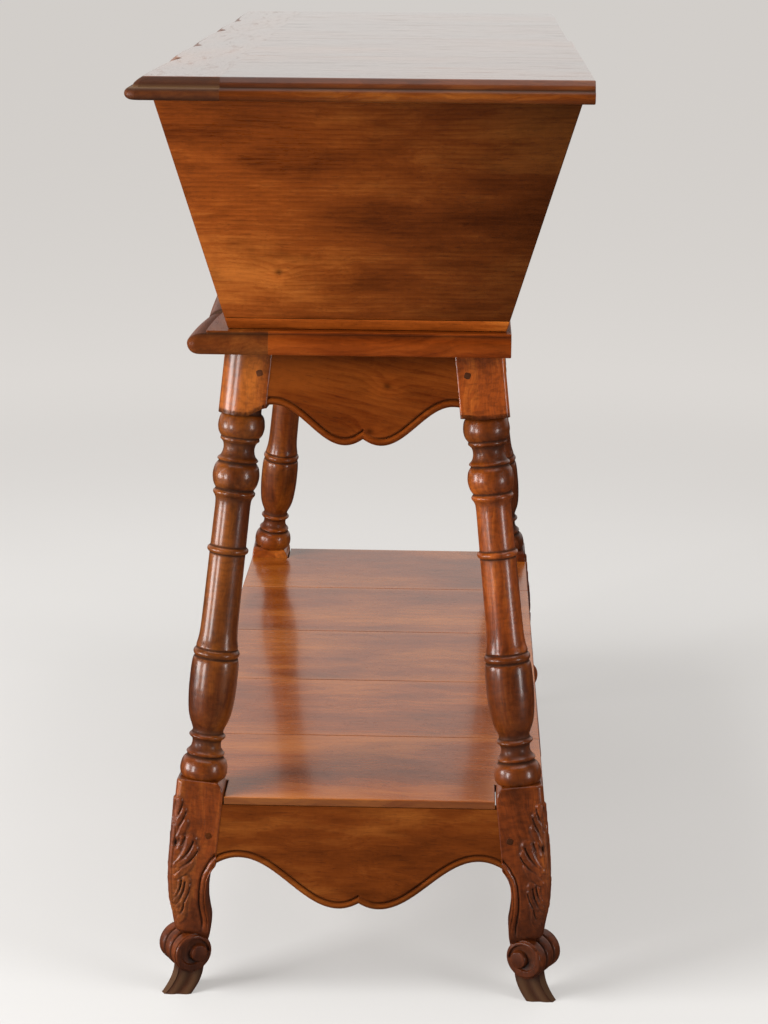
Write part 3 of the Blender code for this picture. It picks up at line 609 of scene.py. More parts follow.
@dataclass(frozen=True)
class Plaster:
    """Pale matt studio floor, with a glow that grows and a colour that fades away from the table."""

    name: str = "studio_floor"
    colour: Colour = (0.255, 0.253, 0.249)
    far: Colour = (0.615, 0.588, 0.562)
    share: float = 0.60
    near: float = 0.6
    end: float = 3.2
    fade: float = 0.50
    fading: tuple[float, float] = (1.1, 2.6)

    def dress(self) -> Material:
        """Build the material: the colour under faint clouds and the glow, both dulled in reflections.

        Returns:
            The material.
        """
        shader = Shader.material(self.name)
        place = shader.node("ShaderNodeTexCoord", {}, {}, "Object")
        cloud = shader.noise(place, (2.2, 2.2, 2.2), 4.0, 0.6)
        weave = shader.noise(place, (160.0, 160.0, 160.0), 3.0, 0.6)
        away = shader.node("ShaderNodeVectorMath", {"operation": "LENGTH"}, {0: place}, "Value")
        glow = self.share + (1.0 - self.share) * away.step(self.near, self.end)
        shine = shader.node("ShaderNodeLightPath", {}, {}, "Is Glossy Ray")
        dulled = 1.0 - 0.97 * shine
        plain = 1.0 - self.fade * away.step(*self.fading)
        shade = (1.0 + 0.05 * (cloud - 0.5) + 0.04 * (weave - 0.5)) * plain * dulled
        shader.owner.cycles.emission_sampling = "NONE"
        colour, light = shader.scaled(self.colour, shade), shader.scaled(self.far, glow * dulled)
        return shader.finish(Base_Color=colour, Roughness=0.8, Specular_IOR_Level=0.0,
                             Emission_Color=light, Emission_Strength=1.0)


@dataclass(frozen=True)
class Finishes:
    """Every finish of the table, dressed once."""

    board: Material
    panel: Material
    apron: Material
    turned: Material
    rail: Material
    lid: Material
    shelf: Material
    peg: Material
    inside: Material
    iron: Material


def rounded_board(corners: Array, radius: float, along: int = 24, arc: int = 3) -> Array:
    """A board with eased edges, as rows of rings.

    A rounded rectangle is carried along the board and drawn in by a quarter circle at both ends, and its
    shares of length, width and thickness are set between the eight corners by linear weights.

    Args:
        corners: The corners by length, width and thickness (2, 2, 2, 3).
        radius: Radius of the eased edges.
        along: Rows along the board.
        arc: Steps of each eased edge.

    Returns:
        Points by row and column.
    """
    size = np.array([np.linalg.norm(np.diff(corners.mean(axis=tuple({0, 1, 2} - {axis})), axis=0))
                     for axis in range(3)])
    drawn_in, ends = eased(radius, arc + 1)
    inset = np.concatenate((drawn_in, np.zeros(along), drawn_in[::-1]))
    ends = ends / size[0]
    length = np.concatenate((ends, np.linspace(ends[-1], 1 - ends[-1], along + 2)[1:-1], 1 - ends[::-1]))
    angle = (np.arange(4)[:, None] * QUARTER + np.linspace(0, QUARTER, arc + 1)).ravel()
    middle = np.repeat(np.arange(4) * QUARTER + QUARTER / 2, arc + 1)
    high_width, high_thick = np.cos(middle) > 0, np.sin(middle) > 0
    reach = np.maximum(radius - inset[:, None], 0.0)
    width = (np.where(high_width, size[1] - radius, radius) + reach * np.cos(angle)) / size[1]
    thick = (np.where(high_thick, size[2] - radius, radius) + reach * np.sin(angle)) / size[2]
    share = np.broadcast_to(length[:, None], width.shape)
    weights = [np.stack((1 - value, value)) for value in (share, width, thick)]
    return np.einsum("arc,brc,drc,abdk->rck", *weights, corners)


@dataclass(frozen=True)
class Splay:
    """How the legs lean: the frame that legs, aprons, pegs and shelf share, for the back right corner."""

    length: float = 1.024
    depth: float = 0.396
    degrees: float = 6.13
    square: float = 0.052
    level: float = 0.2303

    @property
    def lean(self) -> float:
        """Outward run of a leg for each metre down."""
        return math.tan(math.radians(self.degrees))

    @property
    def half(self) -> float:
        """Half the leg's square."""
        return self.square / 2

    @property
    def axes(self) -> Array:
        """The leg's own directions as rows: outwards along X, outwards along Y, and up its length.

        Returns:
            Three unit rows.
        """
        up = unit((-self.lean, -self.lean, 1.0))
        out_x = unit((1.0, 0.0, self.lean))
        return np.stack((out_x, np.cross(up, out_x), up))

    @property
    def foot(self) -> Array:
        """Where the leg's axis meets the floor.

        Returns:
            A point on the floor.
        """
        out_x, out_y, _ = self.axes
        drift = self.lean * self.level
        return np.array((self.length / 2 - self.half / out_x[0] + drift,
                         self.depth / 2 - self.half / out_y[1] + drift, 0.0))

    def from_leg(self, local: Array) -> Array:
        """Points from the leg's own frame to the table's."""
        return local @ self.axes + self.foot

    def to_leg(self, points: Array) -> Array:
        """Points from the table's frame to the leg's own."""
        return (points - self.foot) @ self.axes.T

    def shoulder(self, long: bool, height: Array | float) -> Array | float:
        """Half length of an apron at a height up its face, to the inner face of the leg.

        Args:
            long: Whether the apron runs along X.
            height: Height up its face.

        Returns:
            The half length there.
        """
        turn = math.radians(self.degrees)
        reach = self.foot[0] if long else self.foot[1]
        return reach - self.half / math.cos(turn) - GAP - math.sin(turn) * height

    def from_apron(self, long: bool, points: Array, setback: float) -> Array:
        """Points from an apron's face to the table's frame.

        Args:
            long: Whether the apron runs along X.
            points: Along the apron, up its face, outwards.
            setback: How far its face lies inside the legs' faces.

        Returns:
            Points of the back apron or the right apron.
        """
        turn = math.radians(self.degrees)
        out_x, out_y, _ = self.axes
        face = self.foot + (out_y if long else out_x) * (self.half - setback)
        away = 1 if long else 0
        origin, out, up, run = np.zeros(3), np.zeros(3), np.zeros(3), np.zeros(3)
        origin[away] = face[away] + face[2] * self.lean
        out[away], out[2] = math.cos(turn), math.sin(turn)
        up[away], up[2] = -math.sin(turn), math.cos(turn)
        run[1 - away] = 1.0
        return origin + points @ np.stack((run, up, out))


BEAD = table([
    (-0.0010, -0.0060), (0.0000, -0.0052), (0.0005, -0.0030), (0.0015, -0.0014), (0.0030, -0.0004),
    (0.0044, 0.0000), (0.0058, -0.0005), (0.0068, -0.0013), (0.0074, -0.0024), (0.0080, -0.0023),
    (0.0086, -0.0012), (0.0094, -0.0002), (0.0102, 0.0000)])


def bead_depth(distance: Array) -> Array:
    """Height of the worked edge: a bead, then a quirk, by the distance from the scalloped edge."""
    return np.interp(distance, BEAD[:, 0], BEAD[:, 1])


def bead_age(distance: Array) -> Array:
    """Dark wax in the quirk beside the bead, and a rubbed crest."""
    quirk, crest = np.exp(-((distance - 0.0078) / 0.0011) ** 2), np.exp(-((distance - 0.004) / 0.002) ** 2)
    return 0.60 * quirk - 0.25 * crest


@dataclass
class Apron:
    """Scalloped apron with a bead along its lower edge."""

    splay: Splay
    level: str
    top: float
    arch: float
    lobe: float
    cusp: float
    offset: float
    inset: float
    drop: float
    thickness: float = 0.020
    setback: float = 0.0008
    tongue: float = 0.003
    notch_fill: float = 0.0062
    quirk_fade: float = 0.75
    fade_run: float = 0.013
    bead_crest: float = 0.0044
    worked: float = 0.0108
    arris: float = 0.0006
    fan: int = 7
    side_lobe: tuple[float, float] = (0.290, 0.020)
    middle_arch: tuple[float, float] = (0.165, 0.006)
    slant: float = 0.0
    steps: int = 26

    def edge(self, long: bool) -> Array:
        """Half of the lower edge, from the middle cusp out to the leg.

        Half a cosine wave between an arch and a lobe, a parabola up to the cusp and a parabola down beside
        the leg.

        Args:
            long: Whether the apron runs along X.

        Returns:
            Pairs of place along the apron and height up its face.
        """
        top = self.top / math.cos(math.radians(self.splay.degrees))
        end = self.splay.shoulder(long, top - self.arch - self.drop) + self.tongue
        keys = [(self.offset, top - self.lobe)]
        if long:
            keys += [(self.middle_arch[0], top - self.arch - self.middle_arch[1]),
                     (self.side_lobe[0], top - self.arch - self.side_lobe[1])]
        keys.append((end - self.inset, top - self.arch))
        share = np.arange(self.steps) / self.steps
        rise = (self.lobe - self.cusp - self.notch_fill) * (1 - share) ** 2
        lines = [np.stack((self.offset * share, top - self.lobe + rise), 1)]
        for (u0, h0), (u1, h1) in zip(keys, keys[1:]):
            wave = (1 - np.cos(math.pi * share)) / 2
            lines.append(np.stack((u0 + (u1 - u0) * share, h0 + (h1 - h0) * wave), 1))
        share = np.linspace(0, 1, self.steps)
        fall = top - self.arch - self.drop * share ** 2
        lines.append(np.stack((end - self.inset * (1 - share), fall), 1))
        return np.concatenate(lines)

    def half(self, long: bool, fade: float) -> tuple[Array, Array]:
        """Rings of half an apron, from the middle to the leg.

        The section (back, lower edge, bead, quirk, face, top) is carried along the edge. A point of the bead
        lies at its distance along the edge's normal, and a fan of rows meets in a mitre at the cusp.

        Args:
            long: Whether the apron runs along X.
            fade: How far the quirk dies out towards the cusp.

        Returns:
            Points by row along the apron and column round the section, and their age.
        """
        line = self.edge(long)
        run = np.gradient(line, axis=0)
        run[0] = line[1] - line[0]
        run /= np.linalg.norm(run, axis=1, keepdims=True)
        into = np.stack((-run[:, 1], run[:, 0]), 1)
        first = np.arctan2(into[0, 0], into[0, 1])
        lean = first * np.arange(self.fan) / self.fan
        peak = 1.0 / np.cos(first - lean)
        into = np.concatenate((np.stack((peak * np.sin(lean), peak * np.cos(lean)), 1), into))
        line = np.concatenate((np.repeat(line[:1], self.fan, 0), line))
        worked = np.linspace(0.0, self.worked, 28)
        away = np.concatenate(([0.0, 0.0], worked))
        left = 1.0 - fade * np.exp(-(line[:, :1] / self.fade_run) ** 2) * (away > self.bead_crest)
        under = (self.arris - self.thickness, -0.7 * self.thickness)
        depth = left * np.concatenate((under, bead_depth(worked)))
        near = line[:, None] + away[:, None] * into[:, None]
        limit = self.splay.shoulder(long, near[..., 1]) + self.tongue
        near[..., 0] = np.clip(near[..., 0], 0.0, limit)
        top = self.top / math.cos(math.radians(self.splay.degrees))
        end = self.splay.shoulder(long, top) + self.tongue
        goal = np.stack((line[:, 0] / line[-1, 0] * end, np.full(len(line), top)), 1)[:, None]
        face = near[:, -1:] + (goal - near[:, -1:]) * np.linspace(0, 1, 9)[1:, None]
        low = line[:, None] + self.arris * into[:, None]
        low[..., 0] = np.maximum(low[..., 0], 0.0)
        plan = np.concatenate((near, face, goal, low), 1)
        back = np.full((len(line), 2), -self.thickness)
        depths = np.concatenate((depth, np.zeros(face.shape[:2]), back), 1)
        age = np.zeros(depths.shape)
        age[:, 2:len(away)] = bead_age(worked) * left[:, 2:]
        return np.concatenate((plan, depths[..., None]), 2), age

    def grain(self, side: Side) -> Grain:
        """How the wood lies in the apron of a side.

        Args:
            side: The side of the stand.

        Returns:
            The wood's place.
        """
        along = (1.0, 0.0, -self.slant) if side.long else (0.0, 1.0, -self.slant)
        face = side.signs * ((0.0, 1.0, 0.1) if side.long else (1.0, 0.0, 0.1))
        return Grain.sawn(f"{self.level}_apron_{side.name.lower()}", along, tuple(face))

    def dress(self, side: Side, look: Material, tone: float) -> None:
        """Build one apron from its two halves.

        Args:
            side: The side of the stand.
            look: Its material.
            tone: Brightness of its wood.
        """
        name = f"{self.level}_apron_{side.name.lower()}"
        piece = Piece(self.grain(side), tone)
        ring, age = self.half(side.long, self.quirk_fade)
        other, other_age = self.half(side.long, 0.0)
        whole = np.concatenate((other[::-1] * (-1.0, 1.0, 1.0), ring[1:]))
        ages = np.concatenate((other_age[::-1], age[1:]))
        points = self.splay.from_apron(side.long, whole, self.setback) * side.signs
        piece.tube(points, ages)
        hand_over(piece.make(f"{name}_wood"), look, Body.STAND, Slot.WALNUT, name)


def ring_columns(arc: int, face: int, inner: int, small: int) -> tuple[Array, Array, Array, Array]:
    """Columns round a rounded square, from the middle of its outer corner and back.

    Args:
        arc: Columns of half the outer corner.
        face: Columns of each outer face.
        inner: Columns of each inner face.
        small: Columns of each small corner.

    Returns:
        For each column the corner it leaves and goes to, its share of the way and its normal's angle.
    """
    q = QUARTER
    spans = ((0, 0, q / 2, 0.0, arc), (0, 1, 0.0, 0.0, face), (1, 1, 0.0, -q, small), (1, 2, -q, -q, inner),
             (2, 2, -q, -2 * q, small), (2, 3, -2 * q, -2 * q, inner), (3, 3, -2 * q, -3 * q, small),
             (3, 0, -3 * q, -3 * q, face), (0, 0, -3 * q, -3.5 * q, arc))
    leave = np.concatenate([np.full(n, a) for a, _, _, _, n in spans])
    reach = np.concatenate([np.full(n, b) for _, b, _, _, n in spans])
    share = np.concatenate([np.arange(n) / n * (a != b) for a, b, _, _, n in spans])
    angle = np.concatenate([start + (end - start) * np.arange(n) / n for _, _, start, end, n in spans])
    return leave, reach, share, angle


def square_rings(inner: Array, outer: Array, corner: Array, arris: Array,
                 columns: tuple[Array, Array, Array, Array]) -> tuple[Array, Array]:
    """Rounded squares, one for each row.

    Each column goes in a straight line from the circle of one corner to the circle of the next.

    Args:
        inner: How far each square reaches inwards from the leg's axis.
        outer: How far it reaches outwards.
        corner: Radius of its outer corner.
        arris: Radius of its other corners.
        columns: What ring_columns gives.

    Returns:
        Points in the square's plane, and each column's normal.
    """
    leave, reach, share, angle = columns
    normal = np.stack((np.cos(angle), np.sin(angle)), 1)
    big, low, high = outer - corner, arris - inner, outer - arris
    pairs = ((big, big), (high, low), (low, low), (low, high))
    centres = np.stack([np.stack(pair, -1) for pair in pairs], 1)
    radii = np.stack((corner, arris, arris, arris), 1)
    start = centres[:, leave] + radii[:, leave, None] * normal
    end = centres[:, reach] + radii[:, reach, None] * normal
    return start + (end - start) * share[None, :, None], normal


@dataclass(frozen=True)
class Lobe:
    """A carved lobe of a leaf, or a stroke of the gouge: root and tip beside the corner, in millimetres."""

    root: tuple[float, float]
    tip: tuple[float, float]
    width: float
    relief: float = 2.7
    bow: float = 0.10

    def _place(self, across: Array, up: Array) -> tuple[Array, Array, Array]:
        """Share of the way to the tip, distance aside of the bowed line, and distance past the ends.

        Args:
            across: Distance from the corner.
            up: Height above the floor.

        Returns:
            The share and both distances.
        """
        root, tip = np.array(self.root) / 1000, np.array(self.tip) / 1000
        run = tip - root
        length = np.linalg.norm(run)
        run = run / length
        x, y = across - root[0], up - root[1]
        t = (x * run[0] + y * run[1]) / length
        held = np.clip(t, 0.0, 1.0)
        bowed = self.bow * length * (4 * held * (1 - held))
        return held, x * run[1] - y * run[0] - bowed, (t - held) * length

    def height(self, across: Array, up: Array) -> Array:
        """Relief of a lobe: a flat tongue with rounded shoulders, which widens and rises from root to tip.

        Args:
            across: Distance from the corner.
            up: Height above the floor.

        Returns:
            Height above the face.
        """
        held, aside, past = self._place(across, up)
        away = np.hypot(aside, past) / (self.width / 1000 * (0.45 + 0.55 * held ** 0.8))
        tongue = (1 - step(away, 0.60, 1.12)) * (0.9 + 0.1 * (1 - away ** 2))
        return 0.64 * self.relief / 1000 * (0.40 + 0.60 * held) * tongue

    def depth(self, across: Array, up: Array) -> Array:
        """Cut of a stroke: a bell across the bowed line, deepest near its tip and fading at its root.

        Args:
            across: Distance from the corner.
            up: Height above the floor.

        Returns:
            Depth below the leaf.
        """
        held, aside, past = self._place(across, up)
        bell = np.exp(-(np.hypot(aside, past) * 1000 / self.width) ** 2)
        return self.relief / 1000 * (0.25 + 0.75 * step(held, 0.0, 0.7)) * bell


LEAVES = (
    Lobe((0.0, 84), (0.0, 192), 3.8, 2.0, 0.0), Lobe((1.0, 186), (3.8, 220.5), 4.4),
    Lobe((3.0, 190), (9.2, 211), 4.2), Lobe((4.5, 178), (11.8, 198), 5.0),
    Lobe((8.0, 168), (11.4, 181), 3.4), Lobe((7.0, 150), (21.2, 179.5), 7.0, 3.1),
    Lobe((9.0, 146), (25.4, 170.5), 5.2, 3.1), Lobe((8.0, 137), (21.4, 157), 6.4),
    Lobe((6.0, 116), (12.4, 131.5), 3.2, 2.3), Lobe((4.5, 108), (18.8, 134.4), 5.4),
    Lobe((6.0, 102), (19.8, 127.5), 4.6), Lobe((6.0, 97), (16.4, 116.5), 5.0, 2.4),
    Lobe((2.6, 86), (13.2, 107), 4.6, 2.4), Lobe((3.6, 84), (11.8, 98.5), 4.2, 2.1))
STROKES = (
    Lobe((2.6, 201), (7.6, 219), 1.0, 2.0, 0.06), Lobe((4.0, 189), (12.2, 208.5), 1.1, 2.2, 0.06),
    Lobe((8.0, 166), (14.2, 182.5), 1.0, 2.0, 0.06), Lobe((7.5, 152), (23.6, 177.5), 1.2, 2.4, 0.08),
    Lobe((11.0, 147), (29.0, 167.5), 1.2, 2.4, 0.08), Lobe((5.6, 112), (13.8, 133.5), 1.0, 1.8, 0.06),
    Lobe((5.5, 105), (17.4, 132), 1.1, 2.0, 0.08), Lobe((7.6, 101), (22.6, 126.5), 1.1, 2.0, 0.08),
    Lobe((4.2, 91), (14.4, 107.5), 1.0, 1.8, 0.08))


def softened(values: Array, reach: int) -> Array:
    """A field blurred by a square window: the mean of copies shifted down, then of copies shifted along.

    Args:
        values: The field by row and column.
        reach: Half the window.

    Returns:
        The blurred field.
    """
    steps = range(-reach, reach + 1)
    tall = np.pad(values, ((reach, reach), (0, 0)), mode="edge")
    down = sum(tall[reach + k:reach + k + len(values)] for k in steps) / len(steps)
    return sum(np.roll(down, k, axis=1) for k in steps) / len(steps)


@dataclass
class Leg:
    """Splayed leg: square block, turning, carved knee, scroll and pad, as closed surfaces in one object."""

    splay: Splay
    height: float = 0.7065
    block: float = 0.071
    block_top: float = 0.2438
    corner: float = 0.016
    block_corners: tuple[float, float] = (0.027, 0.005)
    block_lift: tuple[float, float] = (0.0115, 0.003)
    block_ease: float = 0.0045
    square_foot: float = 0.1545
    bead_slope: float = 0.667
    arris: float = 0.002
    turn_degrees: float = 30.0
    scroll_reach: float = 0.0233
    scroll_height: float = 0.0500
    scroll_radius: float = 0.0220
    scroll_width: float = 0.046
    scroll_band: float = 0.0080
    eye: float = 0.0102
    leaf_eye: tuple[float, float] = (0.0046, 0.1745)
    pad_height: float = 0.034
    pad_reach: tuple[float, float] = (0.024, 0.0505)
    pad_width: tuple[float, float] = (0.037, 0.009)
    pad_flare: float = 0.0165
    pad_taper: float = 0.005
    pad_rib: float = 0.0011
    profile: Array = field(default_factory=lambda: table([
        (0.2430, 0.0190), (0.2455, 0.0212), (0.2472, 0.0232), (0.2510, 0.0250), (0.2552, 0.0256),
        (0.2610, 0.0250), (0.2660, 0.0234), (0.2698, 0.0200), (0.2712, 0.0189), (0.2722, 0.0201),
        (0.2736, 0.0207), (0.2748, 0.0203), (0.2766, 0.0184), (0.2800, 0.0163), (0.2842, 0.0155),
        (0.2872, 0.0158), (0.2900, 0.0176), (0.2913, 0.0193), (0.2928, 0.0197), (0.2948, 0.0183),
        (0.2962, 0.0168), (0.2985, 0.0166), (0.3025, 0.0178), (0.3090, 0.0206), (0.3180, 0.0231),
        (0.3280, 0.0244), (0.3380, 0.0252), (0.3480, 0.0256), (0.3620, 0.0256), (0.3730, 0.0251),
        (0.3780, 0.0241), (0.3795, 0.0229), (0.3806, 0.0236), (0.3840, 0.0250), (0.3876, 0.0236),
        (0.3890, 0.0221), (0.3905, 0.0226), (0.3930, 0.0222), (0.3985, 0.0211), (0.4100, 0.0201),
        (0.4250, 0.0198), (0.4600, 0.0195), (0.4922, 0.0193), (0.4932, 0.0197), (0.4944, 0.0214),
        (0.4967, 0.0221), (0.4990, 0.0214), (0.5002, 0.0197), (0.5012, 0.0192), (0.5200, 0.0190),
        (0.5440, 0.0188), (0.5500, 0.0191), (0.5545, 0.0206), (0.5572, 0.0224), (0.5590, 0.0226),
        (0.5610, 0.0212), (0.5622, 0.0203), (0.5640, 0.0214), (0.5690, 0.0237), (0.5770, 0.0249),
        (0.5855, 0.0237), (0.5905, 0.0208), (0.5918, 0.0199), (0.5928, 0.0213), (0.5941, 0.0219),
        (0.5953, 0.0213), (0.5972, 0.0192), (0.6010, 0.0173), (0.6060, 0.0165), (0.6105, 0.0172),
        (0.6140, 0.0196), (0.6150, 0.0208), (0.6168, 0.0209), (0.6178, 0.0203), (0.6192, 0.0213),
        (0.6235, 0.0237), (0.6300, 0.0248), (0.6375, 0.0239), (0.6424, 0.0218), (0.6440, 0.0199),
        (0.6462, 0.0195), (0.6530, 0.0195)]))
    reach_in: Array = field(default_factory=lambda: table([
        (0.036, 0.0192), (0.050, 0.0222), (0.064, 0.0248), (0.078, 0.0255), (0.087, 0.0250), (0.100, 0.0220),
        (0.112, 0.0196), (0.124, 0.0187), (0.134, 0.0188), (0.142, 0.0203), (0.149, 0.0232), (0.1545, 0.0260),
        (0.226, 0.0260), (0.234, 0.0250), (0.240, 0.0222), (0.2438, 0.0185)]))
    reach_out: Array = field(default_factory=lambda: table([
        (0.036, -0.0120), (0.052, -0.0100), (0.062, -0.0040), (0.070, 0.0070), (0.076, 0.0122),
        (0.087, 0.0143), (0.100, 0.0180), (0.112, 0.0212), (0.124, 0.0231), (0.137, 0.0246),
        (0.152, 0.0256), (0.170, 0.0260), (0.2405, 0.0260), (0.2430, 0.0254), (0.2438, 0.0244)]))

    def _add(self, piece: Piece, points: Array, corner: Corner, age: Array | float = 0.0) -> None:
        """Add a closed surface of the back right leg, carried to a corner, with the grain along the leg."""
        piece.tube(points * corner.signs, age, self.splay.to_leg(points))

    def upper_block(self, piece: Piece, corner: Corner) -> None:
        """Square block: rounded squares from a rounded lower edge, lifted beside the aprons, to the top.

        Args:
            piece: Piece to add it to.
            corner: The leg's corner of the stand.
        """
        drawn_in, lifted = eased(self.block_ease, 6)
        inset = np.concatenate(([0.012], drawn_in, np.zeros(14), [0.0004]))
        lift = np.concatenate(([0.0], lifted, np.zeros(15)))[:, None]
        rise = np.concatenate((np.zeros(7), np.linspace(0, 1, 14), [1.0]))[:, None]
        place = 0 if corner in (Corner.FRONT_RIGHT, Corner.FRONT_LEFT) else 1
        square = self.splay.half - inset
        outer = np.maximum(self.block_corners[place] - inset, 0.002)
        other = np.maximum(self.arris - inset, 0.0006) + inset * 0.3
        plan, _ = square_rings(square, square, outer, other, ring_columns(12, 10, 10, 4))
        toward = step(-plan, 0.002, 0.027).max(2)
        axes = self.splay.axes
        base = (self.height - self.block) / axes[2, 2] + self.block_lift[place] * toward + lift
        level = self.height - plan[..., 0] * axes[0, 2] - plan[..., 1] * axes[1, 2]
        along = base + (level / axes[2, 2] - base) * rise
        edge = np.exp(-((along - base) / 0.004) ** 2)
        local = np.concatenate((plan, along[..., None]), 2)
        self._add(piece, self.splay.from_leg(local), corner, 0.35 * edge)

    def _cut_in(self, radius: Array, reach: int) -> Array:
        """How far each place lies below its neighbours: a bell-weighted mean less its own radius.

        Args:
            radius: The turning's radius at even steps.
            reach: Steps that count as near.

        Returns:
            The depth at each step.
        """
        window = np.hanning(reach + 2)[1:-1]
        around = np.convolve(np.pad(radius, reach // 2, mode="edge"), window / window.sum(), mode="valid")
        return around - radius

    def turning(self, piece: Piece, corner: Corner) -> None:
        """Turned middle: the profile's radius spun about the leg's axis, with dark wax where it is cut in.

        Args:
            piece: Piece to add it to.
            corner: The leg's corner of the stand.
        """
        along = np.arange(self.profile[0, 0], self.profile[-1, 0], 0.0009)
        radius = smooth_line(self.profile, along)
        age = np.clip(self._cut_in(radius, 31) / 0.0065 + self._cut_in(radius, 9) / 0.0006, -0.10, 1.0)
        angle = circle(56)
        local = surface(radius[:, None] * np.cos(angle), radius[:, None] * np.sin(angle), along[:, None])
        self._add(piece, self.splay.from_leg(local), corner, age[:, None])

    def shank(self, piece: Piece, corner: Corner) -> None:
        """Lower block and cabriole shank: rounded squares down the leg, carved on the outer faces.

        The leaf stands on both faces beside the outer corner, and the apron's bead goes on down the inner
        edge of each outer face. Both push the surface along the square's normal.

        Args:
            piece: Piece to add it to.
            corner: The leg's corner of the stand.
        """
        z = np.concatenate((np.linspace(0.037, 0.2395, 254), np.linspace(0.2400, 0.2438, 7)))
        inner, outer = smooth_line(self.reach_in, z), smooth_line(self.reach_out, z)
        columns = ring_columns(14, 54, 9, 3)
        small = np.full(len(z), self.arris)
        big = np.minimum(self.corner / 2, 0.45 * (inner + outer))
        plan, normal = square_rings(inner, outer, big, small, columns)
        gaps = np.linalg.norm(np.diff(plan, axis=1, append=plan[:, :1]), axis=2)
        walked = np.concatenate((np.zeros((len(z), 1)), np.cumsum(gaps, 1)[:, :-1]), 1)
        across = np.minimum(walked, gaps.sum(1, keepdims=True) - walked)
        up = np.broadcast_to(z[:, None], across.shape)
        leaf = np.max([lobe.height(across, up) for lobe in LEAVES], axis=0)
        cut = np.max([stroke.depth(across, up) for stroke in STROKES], axis=0)
        leaf = leaf - cut * step(leaf, 0.0, 0.0012)
        eye = np.exp(-((across - self.leaf_eye[0]) / 0.0018) ** 2 - ((up - self.leaf_eye[1]) / 0.0042) ** 2)
        wax = np.clip((softened(leaf, 4) - leaf) / 0.0010, -0.10, 0.85) + 0.9 * eye
        wax = wax + 0.30 * step(leaf, 0.0, 0.0010) + 0.22 * (1 - step(z, 0.060, 0.190))[:, None]
        edge = self.reach_in.copy()
        beyond = edge[:, 0] > self.square_foot
        edge[beyond, 1] = self.splay.half + (edge[beyond, 0] - self.square_foot) / self.bead_slope
        bound = smooth_line(edge, z)
        steep = np.sqrt(1 + np.gradient(bound, z) ** 2)
        sideways = np.where(normal[:, 0] > 0.5, plan[..., 1], plan[..., 0])
        distance = (sideways + bound[:, None]) / steep[:, None]
        outside = normal.max(1) > 0.9999
        beaded = step(z, 0.072, 0.090)[:, None] * outside
        push = leaf - 0.0030 * eye + bead_depth(np.maximum(distance, 0.0012)) * beaded
        plan = plan + push[..., None] * normal
        age = wax + bead_age(np.maximum(distance, 0.0)) * beaded
        local = np.concatenate((plan, up[..., None] / self.splay.axes[2, 2]), 2)
        self._add(piece, self.splay.from_leg(local), corner, age)

    def _foot(self, points: Array) -> Array:
        """Points from the foot's frame (toe, across, up) to the table's.

        Args:
            points: Points in the foot's frame.

        Returns:
            The same points in the table's frame.
        """
        turn = math.radians(self.turn_degrees)
        toe, across = (math.sin(turn), math.cos(turn), 0.0), (-math.cos(turn), math.sin(turn), 0.0)
        start = self.splay.from_leg(np.array((0.0, 0.0, self.block_top / self.splay.axes[2, 2])))
        return points @ np.array((toe, across, (0.0, 0.0, 1.0))) + start * (1.0, 1.0, 0.0)

    def scroll(self, piece: Piece, corner: Corner) -> None:
        """Scroll roll: a banded barrel about the across axis, with a spiral step and an eye on each end.

        Args:
            piece: Piece to add it to.
            corner: The leg's corner of the stand.
        """
        angle = circle(96)
        ease, swell = 0.002, 0.0012
        half, rim = self.scroll_width / 2, self.scroll_radius - swell
        flat = np.linspace(0.0, rim - ease, 46)
        turn = np.linspace(0, QUARTER, 6)[1:]
        edge_r, edge_w = rim - ease + ease * np.sin(turn), half - ease + ease * np.cos(turn)
        barrel_w = np.linspace(half - ease, 0.0, 40)[1:]
        cut = np.abs(barrel_w - self.scroll_band)
        barrel_r = rim + swell * np.sqrt(np.clip(cut / 0.0055, 0, 1)) - 0.0026 * np.exp(-(cut / 0.0013) ** 2)
        radius = np.concatenate((flat, edge_r, barrel_r))[:, None]
        place = np.concatenate((np.full(len(flat), half), edge_w, barrel_w))[:, None]
        x, up = radius * np.cos(angle), radius * np.sin(angle)
        share = (math.pi - np.arctan2(up, x)) / (2 * math.pi)
        within = rim - 0.0018 - 0.0078 * share - radius
        from_eye = np.hypot(x + 0.0060, up + 0.0004)
        face = -0.0022 * step(within, 0.0, 0.0016) - 0.0010 * step(within, 0.001, 0.008)
        proud = step(-from_eye, -self.eye - 0.0004, -self.eye + 0.0016)
        face = face * (1 - proud) + proud * (0.0024 + 0.0008 * (1 - (from_eye / self.eye) ** 2))
        face[len(flat):] = 0.0
        age = 0.26 + 0.4 * np.clip(-face / 0.0036, 0, 1)
        age[len(flat) + len(turn):] += 0.8 * np.exp(-(cut / 0.0015) ** 2)[:, None]
        near = surface(x + self.scroll_reach, place + face, up + self.scroll_height)
        whole = np.concatenate((near, near[::-1][1:] * (1.0, -1.0, 1.0)))
        self._add(piece, self._foot(whole), corner, np.concatenate((age, age[::-1][1:])))

